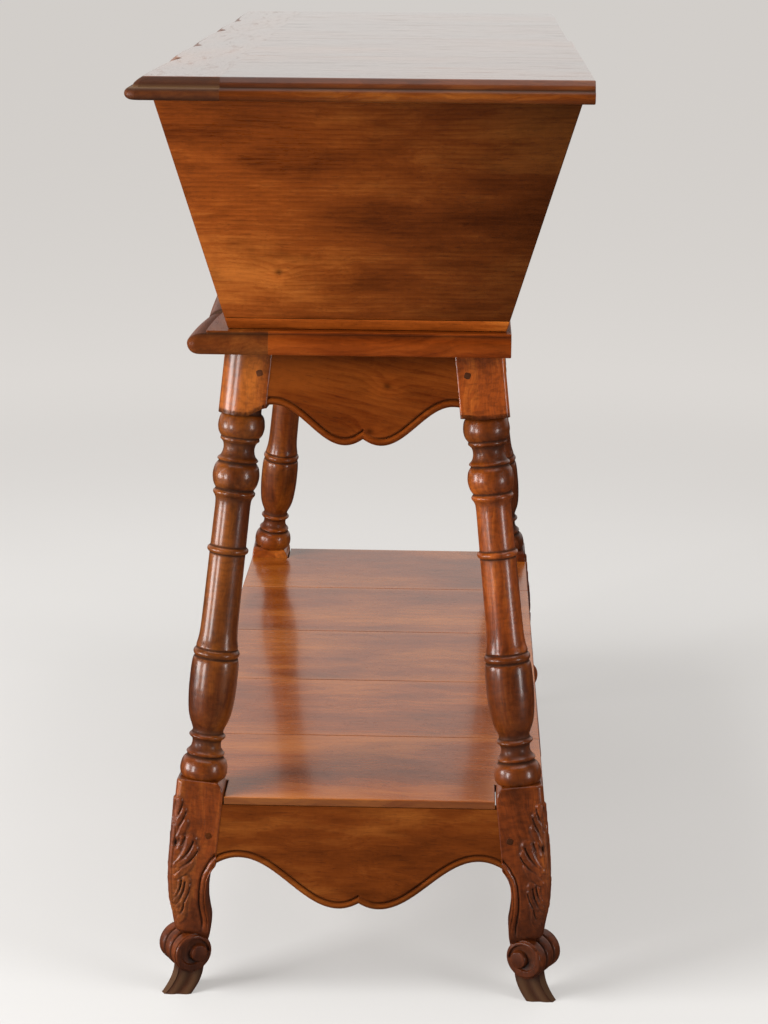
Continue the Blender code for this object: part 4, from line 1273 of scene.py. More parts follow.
    def pad(self, piece: Piece, corner: Corner) -> None:
        """Foot pad: a rounded rectangle that flares down to the toe, with a rib on each edge.

        Args:
            piece: Piece to add it to.
            corner: The leg's corner of the stand.
        """
        up = np.linspace(1.0, 0.0, 30)[:, None]
        drawn = 1 - (1 - up) ** 2.2
        heel, toe = (reach - self.pad_flare * drawn for reach in self.pad_reach)
        wide = (self.pad_width[0] - self.pad_taper * drawn) / 2
        narrow = (self.pad_width[1] + self.pad_taper * drawn) / 2
        corners = table([(1, 1), (-1, 1), (-1, -1), (1, -1)])
        share = np.linspace(0, 1, 17)[:-1, None]
        ring = (corners[:, None] + (np.roll(corners, -1, 0) - corners)[:, None] * share).reshape(-1, 2)
        ring_x, ring_y = (ring / (np.abs(ring) ** 14).sum(1, keepdims=True) ** (1 / 14)).T
        ribbed = np.cos(ring_x * math.pi) ** 2 * (np.abs(ring_y) > 0.9)
        x = (heel + toe) / 2 + (toe - heel) / 2 * ring_x
        half_width = (wide + narrow) / 2 + (narrow - wide) / 2 * ring_x
        y = (half_width - self.pad_rib * ribbed) * ring_y
        age = 1.28 - 0.26 * ribbed - 0.4 * step(up, 0.55, 1.0)
        self._add(piece, self._foot(surface(x, y, up * self.pad_height)), corner, age)

    def dress(self, corner: Corner, look: Material, tone: Array) -> None:
        """Build one leg.

        Args:
            corner: Its corner of the stand.
            look: Its material.
            tone: Height and brightness of its wood there, from the floor up.
        """
        name = f"leg_{corner.label}"
        grain = Grain.sawn(name, (0, 0, 1), (1, 0.6, 0), 0.06)
        piece = Piece(grain, 1.0, lambda at: smooth_line(tone, at[:, 2]))
        for part in (self.upper_block, self.turning, self.shank, self.scroll, self.pad):
            part(piece, corner)
        hand_over(piece.make(f"{name}_wood"), look, Body.STAND, Slot.WALNUT, name)


@dataclass
class Pegs:
    """Dark pegs that pin the apron tenons in the legs."""

    splay: Splay
    radius: float = 0.0040
    proud: float = 0.0006
    length: float = 0.027
    from_joint: float = 0.0120
    setback: float = 0.0008

    def dress(self, level: str, long: bool, height: float, corner: Corner, look: Material) -> None:
        """Build one peg: a slightly square round, domed at its outer end, carried along its axis.

        Args:
            level: Upper or lower aprons.
            long: Whether it pins an apron that runs along X.
            height: Height up the apron's face.
            corner: Its leg.
            look: Its material.
        """
        name = f"{level}_{'side' if long else 'end'}_peg_{corner.label}"
        angle = circle(28)
        boxy = 1 / (np.abs(np.cos(angle + 0.3)) ** 5 + np.abs(np.sin(angle + 0.3)) ** 5) ** (1 / 5)
        dome = np.linspace(0, QUARTER, 6)[1:]
        rings = np.concatenate((np.linspace(0, 0.8, 6), 0.8 + 0.2 * np.sin(dome), [1.0, 0.9]))[:, None]
        radius = self.radius * np.minimum(rings * (0.84 + 0.64 * (boxy - 1.0)), 1.0)
        crown = self.proud - np.concatenate((0.00004 * np.arange(6), 0.0002 + 0.0004 * (1 - np.cos(dome))))
        out = self.setback + np.concatenate((crown, [0.002 - self.length, -self.length]))[:, None]
        along = self.splay.shoulder(long, height) + self.from_joint
        points = surface(along + radius * np.cos(angle), height + radius * np.sin(angle), out)
        points = self.splay.from_apron(long, points, self.setback)
        axis = (0.0, 1.0, 0.1) if long else (1.0, 0.0, 0.1)
        piece = Piece(Grain.sawn(name, axis, (0.0, 0.0, 1.0), 0.02), 0.45 if level == "lower" else 1.0)
        piece.tube(points * corner.signs, 0.25)
        hand_over(piece.make(f"{name}_wood"), look, Body.STAND, Slot.DARK, name)


@dataclass
class Shelf:
    """Shelf boards from end to end, the end boards notched round the leg blocks."""

    splay: Splay
    low: float = 0.2218
    high: float = 0.2303
    ease: float = 0.0009
    slack: float = 0.0004
    tones: tuple[float, ...] = (0.98, 1.0, 0.97, 1.02, 1.0)
    rubbed: Array = field(default_factory=lambda: table([
        (0.0020, -0.75), (0.0060, -0.55), (0.0110, -0.20), (0.0170, 0.0)]))

    def outline(self, start: float, end: float) -> tuple[Array, Array]:
        """Outline of a board, and for each corner the direction in which its easing draws in.

        Args:
            start: Left edge.
            end: Right edge.

        Returns:
            Corner points, and their inward steps.
        """
        half, depth = self.splay.length / 2, self.splay.depth / 2
        block = self.splay.square / math.cos(math.radians(self.splay.degrees)) + self.slack
        notch, back = half - block, depth - block
        notched = [(notch, -depth), (notch, -back), (half, -back),
                   (half, back), (notch, back), (notch, depth)]
        right = notched if end > notch else [(end, -depth), (end, depth)]
        left = [(-x, -y) for x, y in notched] if start < -notch else [(start, depth), (start, -depth)]
        points = table(right + left)
        ahead, behind = np.roll(points, -1, 0) - points, points - np.roll(points, 1, 0)
        runs = sum(run / np.linalg.norm(run, axis=1, keepdims=True) for run in (ahead, behind))
        return points, np.stack((-runs[:, 1], runs[:, 0]), 1)

    def dress(self, look: Material) -> None:
        """Build the boards: each outline carried up through the thickness, with eased edges.

        Args:
            look: Their material.
        """
        width = (self.splay.length - (len(self.tones) - 1) * GAP) / len(self.tones)
        drawn_in, drop = eased(self.ease, 4)
        inset = np.concatenate((drawn_in, drawn_in[::-1], self.rubbed[:, 0]))[:, None, None]
        top = np.full(len(self.rubbed), self.high)
        height = np.concatenate((self.low + drop, self.high - drop[::-1], top))[:, None]
        waxed = 0.62 * np.sin(math.pi * np.linspace(0, 1, 2 * len(drop)))
        age = np.concatenate((waxed, self.rubbed[:, 1]))[:, None]
        for number, tone in enumerate(self.tones):
            name = f"shelf_board_{number + 1}"
            start = -self.splay.length / 2 + number * (width + GAP)
            points, inward = self.outline(start, start + width)
            plan = points + inset * inward
            piece = Piece(Grain.sawn(name, (0, 1, 0), (0, 0, 1), 0.16), tone)
            piece.tube(surface(plan[..., 0], plan[..., 1], height), age)
            hand_over(piece.make(f"{name}_wood"), look, Body.STAND, Slot.WALNUT, name)


@dataclass
class MouldedTop:
    """A scalloped moulded front rail, and boards behind it with moulded ends and a plain back."""

    name: str
    body: Body
    length: float
    front: float
    back: float
    low: float
    high: float
    rail: float
    boards: int
    front_reach: float
    end_reach: float
    cusps: tuple[float, ...]
    scallop: float
    section: Array
    corner: float
    tones: tuple[float, ...]
    sharp: float = 2.0
    back_step: float = 0.0
    end_wax: float = 0.45
    end_columns: int = 12
    arc_columns: int = 8
    play: float = 0.00002

    def drawn_in(self, x: Array) -> Array:
        """How far the front edge is drawn in: a power of the distance from each lobe's middle.

        Args:
            x: Places along the front.

        Returns:
            Distance back from the widest line.
        """
        across = np.abs(x)
        bounds = np.array((-self.cusps[0], *self.cusps))
        place = np.clip(np.searchsorted(bounds, across, side="left") - 1, 0, len(bounds) - 2)
        share = (across - bounds[place]) / (bounds[place + 1] - bounds[place])
        last = np.clip((across - self.cusps[-1]) / (self.length / 2 - self.cusps[-1]), 0.0, 1.0)
        lobe, end = np.abs(2 * share - 1) ** self.sharp, (1 - last) ** self.sharp
        return self.scallop * np.where(across <= self.cusps[-1], lobe, end)

    def stations(self) -> Array:
        """Places along the front: close together, with every cusp among them.

        Returns:
            Places from the left end to the right.
        """
        right = (*self.cusps, self.length / 2)
        marks = np.array((*[-place for place in reversed(right)], *right))
        share = np.linspace(0, 1, 33)[:-1]
        lines = marks[:-1, None] + np.diff(marks)[:, None] * share
        return np.append(lines.ravel(), marks[-1])

    def rail_rings(self) -> Array:
        """Front rail: for each row of the section, a path along one end, the front and the other end.

        The section gives a share of the reach and a drop below the top, and the share moves the front and the
        ends together, so the mouldings meet in a mitre with a rounded corner.

        Returns:
            Points by row of the section and column along the path.
        """
        share, drop = self.section[:, :1], self.section[:, 1:2]
        joint = self.front + self.rail - self.play
        side = self.length / 2 - self.end_reach + share * self.end_reach
        round_off = self.corner * (0.2 + 0.8 * share)
        last = self.cusps[-1]
        x = np.broadcast_to(self.stations(), (len(share), len(self.stations())))
        scale = (side - round_off - last) / (self.length / 2 - last)
        x = np.where(np.abs(x) > last, np.sign(x) * (last + (np.abs(x) - last) * scale), x)
        y = self.front + self.front_reach * (1 - share) + self.drawn_in(x)
        turn = QUARTER * np.arange(self.arc_columns) / self.arc_columns
        arc_x = -side + round_off - round_off * np.cos(turn)
        arc_y = y[:, :1] + round_off - round_off * np.sin(turn)
        end_y = joint + (arc_y[:, :1] - joint) * np.arange(self.end_columns) / self.end_columns
        end_x = np.broadcast_to(-side, end_y.shape)
        left = np.stack((np.concatenate((end_x, arc_x), 1), np.concatenate((end_y, arc_y), 1)), -1)
        right = left[:, ::-1] * (-1.0, 1.0)
        path = np.concatenate((left, np.stack((x, y), -1), right), 1)
        return surface(path[..., 0], path[..., 1], self.high - drop)

    def board_ring(self, start: float, end: float, first: bool, last: bool) -> tuple[Array, Array]:
        """Cross-section of a board: eased square edges, or the end moulding on an outer side.

        Args:
            start: Left edge.
            end: Right edge.
            first: Whether its left edge is the table's end.
            last: Whether its right edge is the table's end.

        Returns:
            Pairs of X and Z, and their age.
        """
        ease = 0.0003
        inner = self.length / 2 - self.end_reach
        moulded = np.stack((inner + self.end_reach * self.section[:, 0], self.high - self.section[:, 1]), 1)
        plain = table([(-ease, self.high), (0.0, self.high - ease),
                       (0.0, self.low + ease), (-ease, self.low)])
        right = moulded if last else plain + (end, 0.0)
        left = moulded * (-1.0, 1.0) if first else plain * (-1.0, 1.0) + (start, 0.0)
        ages = [self.section[:, 2] if moulding else np.zeros(4) for moulding in (last, first)]
        return np.concatenate((right, left[::-1])), np.concatenate((ages[0], ages[1][::-1]))

    def dress(self, looks: tuple[Material, Material]) -> None:
        """Build the rail and the boards.

        Args:
            looks: Materials of the rail and of the boards.
        """
        name = f"{self.name}_front_rail"
        rail = Piece(Grain.sawn(name, (1, 0, 0), (0, 0, 1), 0.05), self.tones[0])
        rings = self.rail_rings()
        turned = self.end_columns + self.arc_columns
        ends = np.zeros(rings.shape[1])
        ends[:turned] = ends[-turned:] = 1.0
        # notch darkens the moulding at each cusp of the scalloped front: painted shadow in the notch. end_wax
        # darkens the rail's end grain.
        gap = np.abs(np.abs(rings[..., :1]) - np.array(self.cusps)).min(2)
        notch = np.exp(-(gap / 0.010) ** 2) * (rings[..., 1] < self.front + 2 * self.front_reach)
        moulded = self.section[:, 1:2] > 0.0002
        moulded[-1] = False
        rail.tube(rings, self.section[:, 2:3] + (self.end_wax * ends + notch) * moulded)
        hand_over(rail.make(f"{name}_wood"), looks[0], self.body, Slot.DARK, name)
        joint, middle = self.front + self.rail + self.play, (self.high + self.low) / 2
        draw = np.array((0.0, 0.0, 0.0, 0.0003, 0.0009))[:, None]
        span = (self.length - 2 * self.end_reach) / self.boards
        for number in range(self.boards):
            start = (number - self.boards / 2) * span + GAP / 2
            end = start + span - GAP
            ring, age = self.board_ring(start, end, number == 0, number == self.boards - 1)
            back = self.back - (self.back_step if end < 0.01 else 0.0)
            y = np.array((joint, joint + 0.0002, back - 0.0009, back - 0.0003, back))[:, None]
            z = ring[:, 1] - draw * np.sign(ring[:, 1] - middle)
            name = f"{self.name}_board_{number + 1}"
            piece = Piece(Grain.sawn(name, (0, 1, 0), (0, 0, 1), 0.14), self.tones[number + 1])
            piece.tube(surface(ring[:, 0], y, z), age[None, :])
            hand_over(piece.make(f"{name}_wood"), looks[1], self.body, Slot.WALNUT, name)


def nose(reach: tuple[float, float], drop: tuple[float, float], back: float, steps: int, age: float) -> Array:
    """Rows of a rounded nose: half an ellipse from its upper edge to its lower edge.

    Args:
        reach: Share of the reach at the upper edge and at the crown.
        drop: Depth below the top of both edges.
        back: Share of the reach at the lower edge.
        steps: Rows.
        age: Darkening at the upper edge: dark wax, and on the lid painted shade in the quirk above it.

    Returns:
        Rows of share, drop and age, and a last row without wax on the underside.
    """
    angle = np.linspace(QUARTER, -QUARTER, steps)
    start = np.where(angle > 0, reach[0], back)
    share = start + (reach[1] - start) * np.cos(angle)
    depth = (drop[0] + drop[1]) / 2 - (drop[1] - drop[0]) / 2 * np.sin(angle)
    wax = age * np.exp(-((angle - QUARTER) / 0.70) ** 2) - 0.25 * np.exp(-(angle / 0.6) ** 2)
    return np.concatenate((np.stack((share, depth, wax), 1), [(back - 0.04, drop[1], 0.0)]))


def lid_section(thickness: float) -> Array:
    """Lid moulding: an eased top edge, a rounded slope, a quirk and a nose, as share, drop and age, with dark
    wax and painted shade in the quirk.

    Args:
        thickness: The lid's thickness.

    Returns:
        Rows of the section.
    """
    slope = table([
        (0.0, 0.0, 0.0), (0.03, 0.0003, 0.1), (0.12, 0.0012, 0.45), (0.24, 0.0026, 0.38),
        (0.37, 0.0044, 0.32), (0.48, 0.0064, 0.35), (0.55, 0.0084, 0.6), (0.58, 0.0094, 0.9),
        (0.575, 0.0099, 1.0)])
    # The slope's last rows at the quirk, and the nose's upper edge here, are darkened to full: dark wax and
    # painted shade in the quirk.
    lip = nose((0.575, 1.0), (0.0100, thickness), 0.62, 17, 1.0)
    lip[:-1, 2] += 0.25
    return np.concatenate((slope, lip))


def stand_section(thickness: float) -> Array:
    """Stand top moulding: an eased top edge, a small fillet and a broad thumb, as share, drop and age."""
    fillet = table([(0.0, 0.0, -0.2), (0.012, 0.0003, -0.4), (0.02, 0.0008, -0.2),
                    (0.02, 0.0026, 0.5), (0.03, 0.0030, 0.8)])
    return np.concatenate((fillet, nose((0.12, 1.0), (0.0031, thickness), 0.55, 19, 0.6)))


@dataclass
class Trough:
    """Tapered dough trough: end panels over strips, front and back boards between them, and the bottom."""

    low: float = 0.7316
    high: float = 0.9772
    bottom: Point = (0.468, 0.141, 0.1485)
    top: Point = (0.565, 0.204, 0.2175)
    wall: float = 0.020
    floor: float = 0.018
    strip: float = 0.0115
    ease: float = 0.0010
    # Darkening of the eased ends of each board: painted shade along the boards' end edges
    rim: float = 0.55
    tone: float = 0.85
    strip_tone: float = 1.75

    def sizes(self, z: float) -> Array:
        """Half length, front and back of the trough at a height, each in proportion to the height.

        Args:
            z: The height.

        Returns:
            The three sizes, the front one negative.
        """
        share = (z - self.low) / (self.high - self.low)
        half, front, back = np.array(self.bottom) + (np.array(self.top) - np.array(self.bottom)) * share
        return np.array((half, -front, back))

    def end_corners(self, side: float, low: float, high: float) -> Array:
        """Corners of an end panel or strip: length front to back, width up, thickness outwards."""
        levels = [(z, self.sizes(z)) for z in (low, high)]
        return np.array([[[(side * (size[0] - inset), size[edge], z) for inset in (self.wall, 0.0)]
                          for z, size in levels] for edge in (1, 2)])

    def long_corners(self, side: float) -> Array:
        """Corners of the front or back board: length along X, width up, thickness outwards.

        Args:
            side: -1 for the front and 1 for the back.

        Returns:
            Corners for rounded_board.
        """
        levels = [(z, self.sizes(z)) for z in (self.low, self.high)]
        edge, joint = (2 if side > 0 else 1), self.wall + GAP
        return np.array([[[(end * (size[0] - joint), size[edge] - side * inset, z)
                           for inset in (self.wall, 0.0)] for z, size in levels] for end in (-1.0, 1.0)])

    def floor_corners(self) -> Array:
        """Corners of the bottom board: length along X, width front to back, thickness up.

        Returns:
            Corners for rounded_board.
        """
        levels = [(z, self.sizes(z)) for z in (self.low, self.low + self.floor)]
        joint = self.wall + GAP
        return np.array([[[(end * (size[0] - joint), size[edge] - side * joint, z) for z, size in levels]
                          for edge, side in ((1, -1.0), (2, 1.0))] for end in (-1.0, 1.0)])

    def dress(self, finishes: Finishes) -> None:
        """Build every board of the trough.

        Args:
            finishes: The table's finishes.
        """
        joint = self.low + self.strip
        ends = (("right", 1.0, finishes.panel), ("left", -1.0, finishes.board))
        for end, side, look in ends:
            grain = ((0, 1, 0), (side, 0, 0))
            self._board(f"trough_end_strip_{end}", self.end_corners(side, self.low, joint), *grain,
                        self.strip_tone, finishes.board, Slot.WALNUT)
            self._board(f"trough_end_{end}", self.end_corners(side, joint + GAP, self.high), *grain,
                        1.0 if side > 0 else self.tone, look, Slot.WALNUT)
        for name, side in (("trough_front", -1.0), ("trough_back", 1.0)):
            self._board(name, self.long_corners(side), (1, 0, 0), (0, side, 0), self.tone, finishes.board,
                        Slot.WALNUT)
        self._board("trough_bottom", self.floor_corners(), (1, 0, 0), (0, 0, 1), 1.0, finishes.inside,
                    Slot.INSIDE)

    def grain(self, name: str, along: Point, face: Point) -> Grain:
        """How the wood lies in a board of the trough."""
        return Grain.sawn(name, along, face, 0.17)

    def _board(self, name: str, corners: Array, along: Point, face: Point, tone: float, look: Material,
               slot: Slot) -> None:
        """Build one eased board between its corners.

        Args:
            name: Its name.
            corners: Corners for rounded_board.
            along: Direction of its fibres.
            face: Direction of its broad face.
            tone: Brightness of its wood.
            look: Its material.
            slot: Its slot.
        """
        # The near end panel's tone falls from the front (-Y) to the back (+Y): painted shading, lighter on
        # the side the left lamps light and darker away from them.
        drift = (lambda at: np.maximum(0.86 - 3.0 * at[:, 1], 0.26)) if name == "trough_end_right" else None
        piece = Piece(self.grain(name, along, face), tone, drift)
        rings = rounded_board(corners, self.ease)
        # Painted shade: three rows on the eased end at each end of the board are darkened.
        rim = np.zeros(len(rings))
        rim[:3] = rim[-3:] = self.rim
        piece.tube(rings, rim[:, None])
        hand_over(piece.make(f"{name}_wood"), look, Body.STAND, slot, name)


@dataclass
class Hinges:
    """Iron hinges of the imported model, with a slotted screw in each hole of their leaves."""

    trough: Trough
    spread: float = 0.026
    radius: float = 0.0031
    from_edge: float = 0.012
    leaf: float = 0.0015
    lid_leaf: float = 0.9774

    def dress(self, look: Material) -> None:
        """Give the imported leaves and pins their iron, and add the screws.

        Args:
            look: The iron.
        """
        for side in ("right", "left"):
            for part in ("trough_leaf", "lid_leaf", "pin"):
                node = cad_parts[f"hinge_{side}_{part}"]
                node.data.materials.clear()
                node.data.materials.append(look)
                LOG.info("%s: packed node in iron", node.name)
            self._screws(side, "trough_leaf", Body.STAND, look)
            self._screws(side, "lid_leaf", Body.LID, look)

    def _screws(self, side: str, leaf: str, body: Body, look: Material) -> None:
        """Three domed screw heads on a leaf: a spherical cap with a straight slot pressed into it.

        Args:
            side: Right or left hinge.
            leaf: The leaf's name.
            body: The body that the leaf moves with.
            look: Their material.
        """
        low, high = (np.array(corner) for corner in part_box(f"hinge_{side}_{leaf}"))
        middle = (low[0] + high[0]) / 2
        if body is Body.STAND:
            rise = low[2] + self.from_edge
            slope = (self.trough.top[2] - self.trough.bottom[2]) / (self.trough.high - self.trough.low)
            out = unit((0.0, 1.0, -slope))
            centre = np.array((middle, self.trough.sizes(rise)[2], rise)) + out * self.leaf
        else:
            out = np.array((0.0, 0.0, -1.0))
            centre = np.array((middle, low[1] + self.from_edge, self.lid_leaf))
        across = np.array((1.0, 0.0, 0.0))
        up = np.cross(out, across)
        angle = circle(32)
        domed = np.linspace(0, 1, 12)
        ring = self.radius * np.append(domed, 1.0)[:, None]
        lift = np.append(0.0009 * (1 - domed ** 2) + 0.0002, -0.0012)
        x, y = ring * np.cos(angle), ring * np.sin(angle)
        slot = 0.0007 * step(-np.abs(x * 0.8 + y * 0.6), -0.0006, -0.0002)
        slot[len(domed) - 1:] = 0.0
        height = lift[:, None] - slot
        head = x[..., None] * across + y[..., None] * up + height[..., None] * out
        piece = Piece(Grain.sawn("screw", (1, 0, 0), (0, 0, 1)))
        for place in (-self.spread, 0.0, self.spread):
            piece.tube(head + centre + across * place)
        hand_over(piece.make(f"hinge_{side}_{leaf}_screws"), look, body, Slot.IRON)


def placed(name: str, data: bpy.types.ID, side: Array, up: Array, back: Array,
           place: Point) -> bpy.types.Object:
    """Stand a lamp or the camera in the studio.

    Args:
        name: Its name.
        data: The light or camera.
        side: Its own X direction.
        up: Its own Y direction.
        back: Its own Z direction, which points away from what it faces.
        place: Where it stands.

    Returns:
        The object.
    """
    thing = bpy.data.objects.new(name, data)
    bpy.context.scene.collection.objects.link(thing)
    matrix = np.eye(4)
    matrix[:3] = np.stack((side, up, back, place), 1)
    thing.matrix_world = matrix.T
    return thing


@dataclass(frozen=True)
class Lamp:
    """Soft rectangular light: one that fills lights matt surfaces, and polish reflects one that shines."""

    name: str
    place: Point
    size: tuple[float, float]
    power: float
    fills: bool = True
    shines: bool = True
    aim: Point = (0.4, 0.0, 0.6)

    def dress(self) -> None:
        """Set the light up, facing its aim."""
        lamp = bpy.data.lights.new(self.name, "AREA")
        lamp.shape = "RECTANGLE"
        lamp.size, lamp.size_y = self.size
        lamp.energy = self.power
        back = unit(np.subtract(self.place, self.aim))
        side = unit(np.cross((0.0, 0.0, 1.0), back))
        body = placed(self.name, lamp, side, np.cross(back, side), back, self.place)
        body.visible_camera = False
        body.visible_diffuse = self.fills
        body.visible_glossy = self.shines


LAMPS = (
    Lamp("box_left", (1.85, -3.25, 1.70), (2.2, 2.2), 419.0, shines=False),
    Lamp("box_right", (1.90, 3.15, 1.70), (1.8, 2.2), 145.0, shines=False),
    Lamp("strip_left", (2.75, -2.65, 0.52), (0.7, 0.95), 40.0, fills=False),
    Lamp("strip_far_left", (1.02, -3.49, 0.52), (1.2, 0.95), 57.0, fills=False),
    Lamp("strip_right", (2.34, 2.88, 0.52), (0.6, 0.95), 24.0, fills=False),
    Lamp("box_above", (0.1, 0.0, 3.4), (3.2, 3.2), 70.0, aim=(0.0, 0.0, 0.0)))


@dataclass
class Studio:
    """A round pale floor, a pale world, soft lights and the camera."""

    eye: Point = (3.0266, 0.10576, 1.18857)
    yaw: float = -0.0324
    pitch: float = 0.2492
    roll: float = 0.00744
    pixels: float = 2500.0
    rows: float = 1024.0
    sensor: float = 36.0
    pale: float = 0.66
    wall: float = 0.72
    dim: float = 0.02
    fill: float = 0.16
    behind: float = 0.25
    reach: float = 40.0

    def floor(self, look: Material) -> None:
        """Floor: a disc of rings that widen outwards.

        Args:
            look: Its material.
        """
        angle = circle(64)
        radius = np.concatenate(([0.0], np.geomspace(0.5, self.reach, 24)))[:, None]
        points = surface(radius * np.cos(angle), radius * np.sin(angle), 0.0)
        quads = ring_quads(np.arange(points[..., 0].size).reshape(points.shape[:2]))
        mesh = bpy.data.meshes.new("studio_floor")
        mesh.from_pydata(points.reshape(-1, 3).tolist(), [], quads.tolist())
        mesh.materials.append(look)
        sheet = bpy.data.objects.new("studio_floor", mesh)
        bpy.context.scene.collection.objects.link(sheet)

    def surroundings(self) -> None:
        """World: pale to the camera, a pale wall behind the table in reflections, and dim elsewhere."""
        world = bpy.data.worlds.new("studio")
        bpy.context.scene.world = world
        shader = Shader(world)
        seen = shader.node("ShaderNodeLightPath", {}, {}, "Is Camera Ray")
        shine = shader.node("ShaderNodeLightPath", {}, {}, "Is Glossy Ray")
        way = shader.node("ShaderNodeTexCoord", {}, {}, "Generated")
        ahead = shader.axes(way)[0]
        wall = self.dim + (self.wall - self.dim) * (1.0 - ahead.step(-0.75, -0.15))
        soft = self.fill + self.behind * (1.0 - ahead.step(-0.9, 0.1))
        strength = seen * self.pale + (1.0 - seen) * (shine * wall + (1.0 - shine) * soft)
        shader.finish(Color=(1.0, 0.965, 0.93, 1.0), Strength=strength)

    def camera(self) -> None:
        """Camera at the photograph's place: yaw and pitch turn its view from -X, and roll tips it."""
        level = math.cos(self.pitch)
        ahead = np.array((-math.cos(self.yaw) * level, math.sin(self.yaw) * level, -math.sin(self.pitch)))
        side = unit(np.cross(ahead, (0.0, 0.0, 1.0)))
        up = np.cross(side, ahead)
        c, s = math.cos(self.roll), math.sin(self.roll)
        view = bpy.data.cameras.new("camera")
        view.sensor_fit = "VERTICAL"
        view.sensor_height = self.sensor
        view.lens = self.pixels / self.rows * self.sensor
        body = placed("camera", view, c * side + s * up, c * up - s * side, -ahead, self.eye)
        bpy.context.scene.camera = body

    def dress(self) -> None:
        """Set up the whole studio."""
        self.floor(Plaster().dress())
        for lamp in LAMPS:
            lamp.dress()
        self.surroundings()
        bpy.context.scene.view_settings.view_transform = "Standard"
        self.camera()


def make_finishes(panel: Grain, apron: Grain) -> Finishes:
    """Dress every finish once.

    Args:
        panel: Wood of the near end panel, for its knot.
        apron: Wood of the near upper apron, for its knot.

    Returns:
        The finishes by their use.
    """
    panel_knot = table([(0.48, -0.086, 0.795)])
    apron_knots = table([(0.48, 0.0255, 0.673), (0.48, 0.0075, 0.625)])
    return Finishes(
        board=Walnut("walnut_boards").dress(),
        panel=Walnut("walnut_end_panel", knots=tuple(map(tuple, panel.of(panel_knot)))).dress(),
        apron=Walnut("walnut_apron", dark=(0.044, 0.0066, 0.0007), middle=(0.148, 0.0250, 0.0024),
                     light=(0.280, 0.0620, 0.0072), contrast=1.6,
                     knots=tuple(map(tuple, apron.of(apron_knots)))).dress(),
        turned=Walnut("walnut_legs", dark=(0.040, 0.0062, 0.0006), middle=(0.140, 0.0264, 0.0024),
                      light=(0.290, 0.0760, 0.0085), ring_width=0.0036, contrast=1.5, roughness=0.36,
                      coat=0.55, polish=0.19, ior=1.33, patina=0.48, curl=0.30).dress(),
        rail=Walnut("walnut_front_rail", dark=(0.034, 0.0062, 0.0009), middle=(0.115, 0.0250, 0.0034),
                    light=(0.24, 0.070, 0.011)).dress(),
        lid=Walnut("walnut_lid", roughness=0.22, coat=1.0, polish=0.06, ior=1.30, worn=0.45,
                   relief=0.12).dress(),
        shelf=Walnut("walnut_shelf", dark=(0.066, 0.0126, 0.0015), middle=(0.188, 0.0415, 0.0046),
                     light=(0.335, 0.0985, 0.0138), contrast=1.2, roughness=0.20, coat=0.26, polish=0.09,
                     ior=1.45, patina=0.10, relief=0.04, curl=0.0).dress(),
        peg=Walnut("walnut_pegs", dark=(0.030, 0.009, 0.003), middle=(0.070, 0.022, 0.008),
                   light=(0.13, 0.042, 0.014), ring_width=0.0012, roughness=0.42, coat=0.0).dress(),
        inside=Walnut("walnut_inside", dark=(0.13, 0.055, 0.020), middle=(0.27, 0.130, 0.052),
                      light=(0.42, 0.240, 0.110), roughness=0.58, coat=0.0).dress(),
        iron=Iron().dress())


# Brightness of the wood by height above the floor, for the front right and the back right leg
BROWNER = table([
    (0.00, 0.80), (0.10, 0.92), (0.22, 0.92), (0.25, 0.66), (0.30, 0.52), (0.38, 0.42), (0.40, 0.42),
    (0.50, 0.48), (0.55, 0.48), (0.57, 0.44), (0.638, 0.44), (0.645, 0.92), (0.71, 0.92)])
REDDER = table([
    (0.00, 0.66), (0.08, 0.72), (0.11, 0.90), (0.22, 0.98), (0.25, 0.62), (0.30, 0.52), (0.385, 0.56),
    (0.395, 1.05), (0.55, 1.15), (0.60, 0.66), (0.638, 0.66), (0.645, 1.42), (0.71, 1.42)])


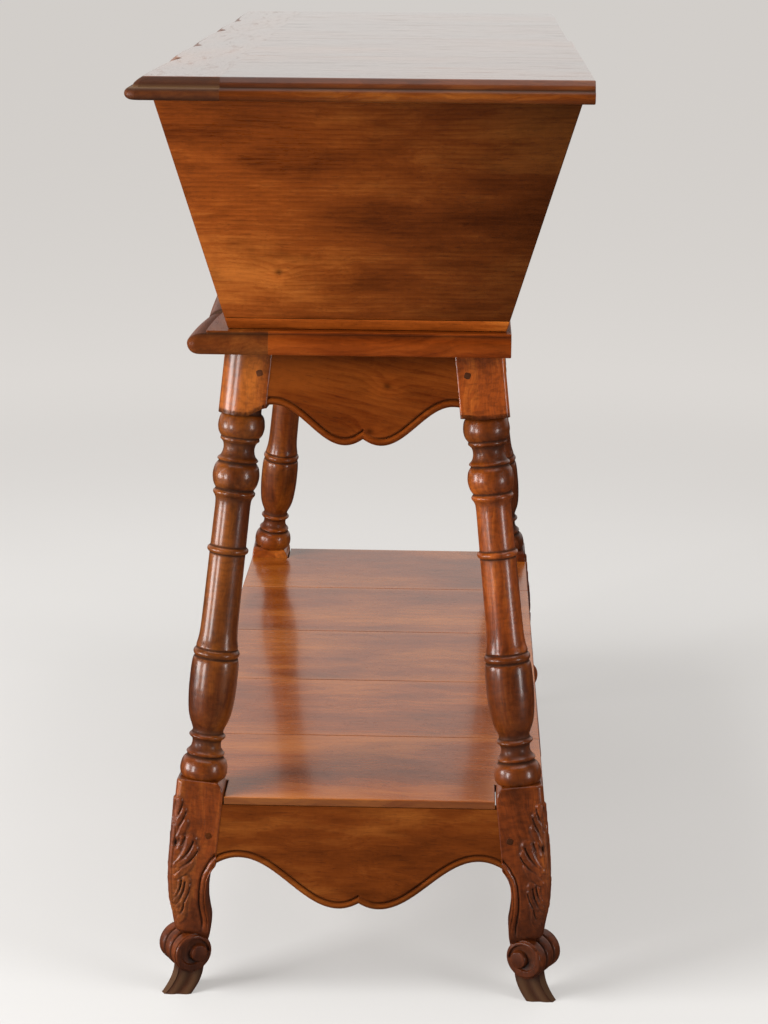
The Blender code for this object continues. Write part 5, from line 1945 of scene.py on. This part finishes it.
def main() -> None:
    """Build the table piece by piece, then the studio."""
    logging.basicConfig(level=logging.INFO, format="%(name)s: %(message)s")
    splay = Splay()
    upper = Apron(splay, "upper", top=0.7065, arch=0.0565, lobe=0.0985, cusp=0.0855, offset=0.0190,
                  inset=0.0090, drop=0.0010, slant=0.2)
    lower = Apron(splay, "lower", top=0.2215, arch=0.0590, lobe=0.1140, cusp=0.1015, offset=0.0215,
                  inset=0.0270, drop=0.0090)
    trough = Trough()
    finishes = make_finishes(trough.grain("trough_end_right", (0, 1, 0), (1, 0, 0)), upper.grain(Side.RIGHT))
    leg = Leg(splay)
    farther = BROWNER * (1.0, 1.3)
    tones = {Corner.FRONT_RIGHT: BROWNER, Corner.BACK_RIGHT: REDDER, Corner.FRONT_LEFT: farther,
             Corner.BACK_LEFT: farther}
    for corner, tone in tones.items():
        leg.dress(corner, finishes.turned, tone)
    for apron, look, tone in ((upper, finishes.apron, 0.43), (lower, finishes.board, 0.64)):
        for side in Side:
            apron.dress(side, look if side is Side.RIGHT else finishes.board, tone)
    pegs = Pegs(splay)
    rise = 1 / math.cos(math.radians(splay.degrees))
    for apron, below in ((upper, 0.0230), (lower, 0.0345)):
        for corner in Corner:
            for long in (True, False):
                faint = apron is lower and corner is Corner.FRONT_RIGHT and not long
                look = finishes.rail if faint else finishes.peg
                pegs.dress(apron.level, long, apron.top * rise - below, corner, look)
    Shelf(splay).dress(finishes.shelf)
    stand_top = MouldedTop("stand_top", Body.STAND, length=0.972, front=-0.183, back=0.1535, low=0.7068,
                           high=0.7313, rail=0.085, boards=3, front_reach=0.021, end_reach=0.005,
                           cusps=(0.345,), scallop=0.009, section=stand_section(0.0245), corner=0.010,
                           tones=(0.9, 0.78, 0.78, 0.78))
    stand_top.dress((finishes.rail, finishes.apron))
    trough.dress(finishes)
    lid = MouldedTop("lid", Body.LID, length=1.220, front=-0.227, back=0.227, low=0.9775, high=1.000,
                     rail=0.093, boards=4, front_reach=0.0185, end_reach=0.012, cusps=(0.145, 0.350),
                     scallop=0.010, section=lid_section(0.0225), corner=0.012,
                     tones=(0.72, 0.70, 0.72, 0.74, 0.72), sharp=4.5, back_step=0.004, end_wax=0.60)
    lid.dress((finishes.lid, finishes.lid))
    Hinges(trough).dress(finishes.iron)
    Studio().dress()


if __name__ == "__main__":
    main()
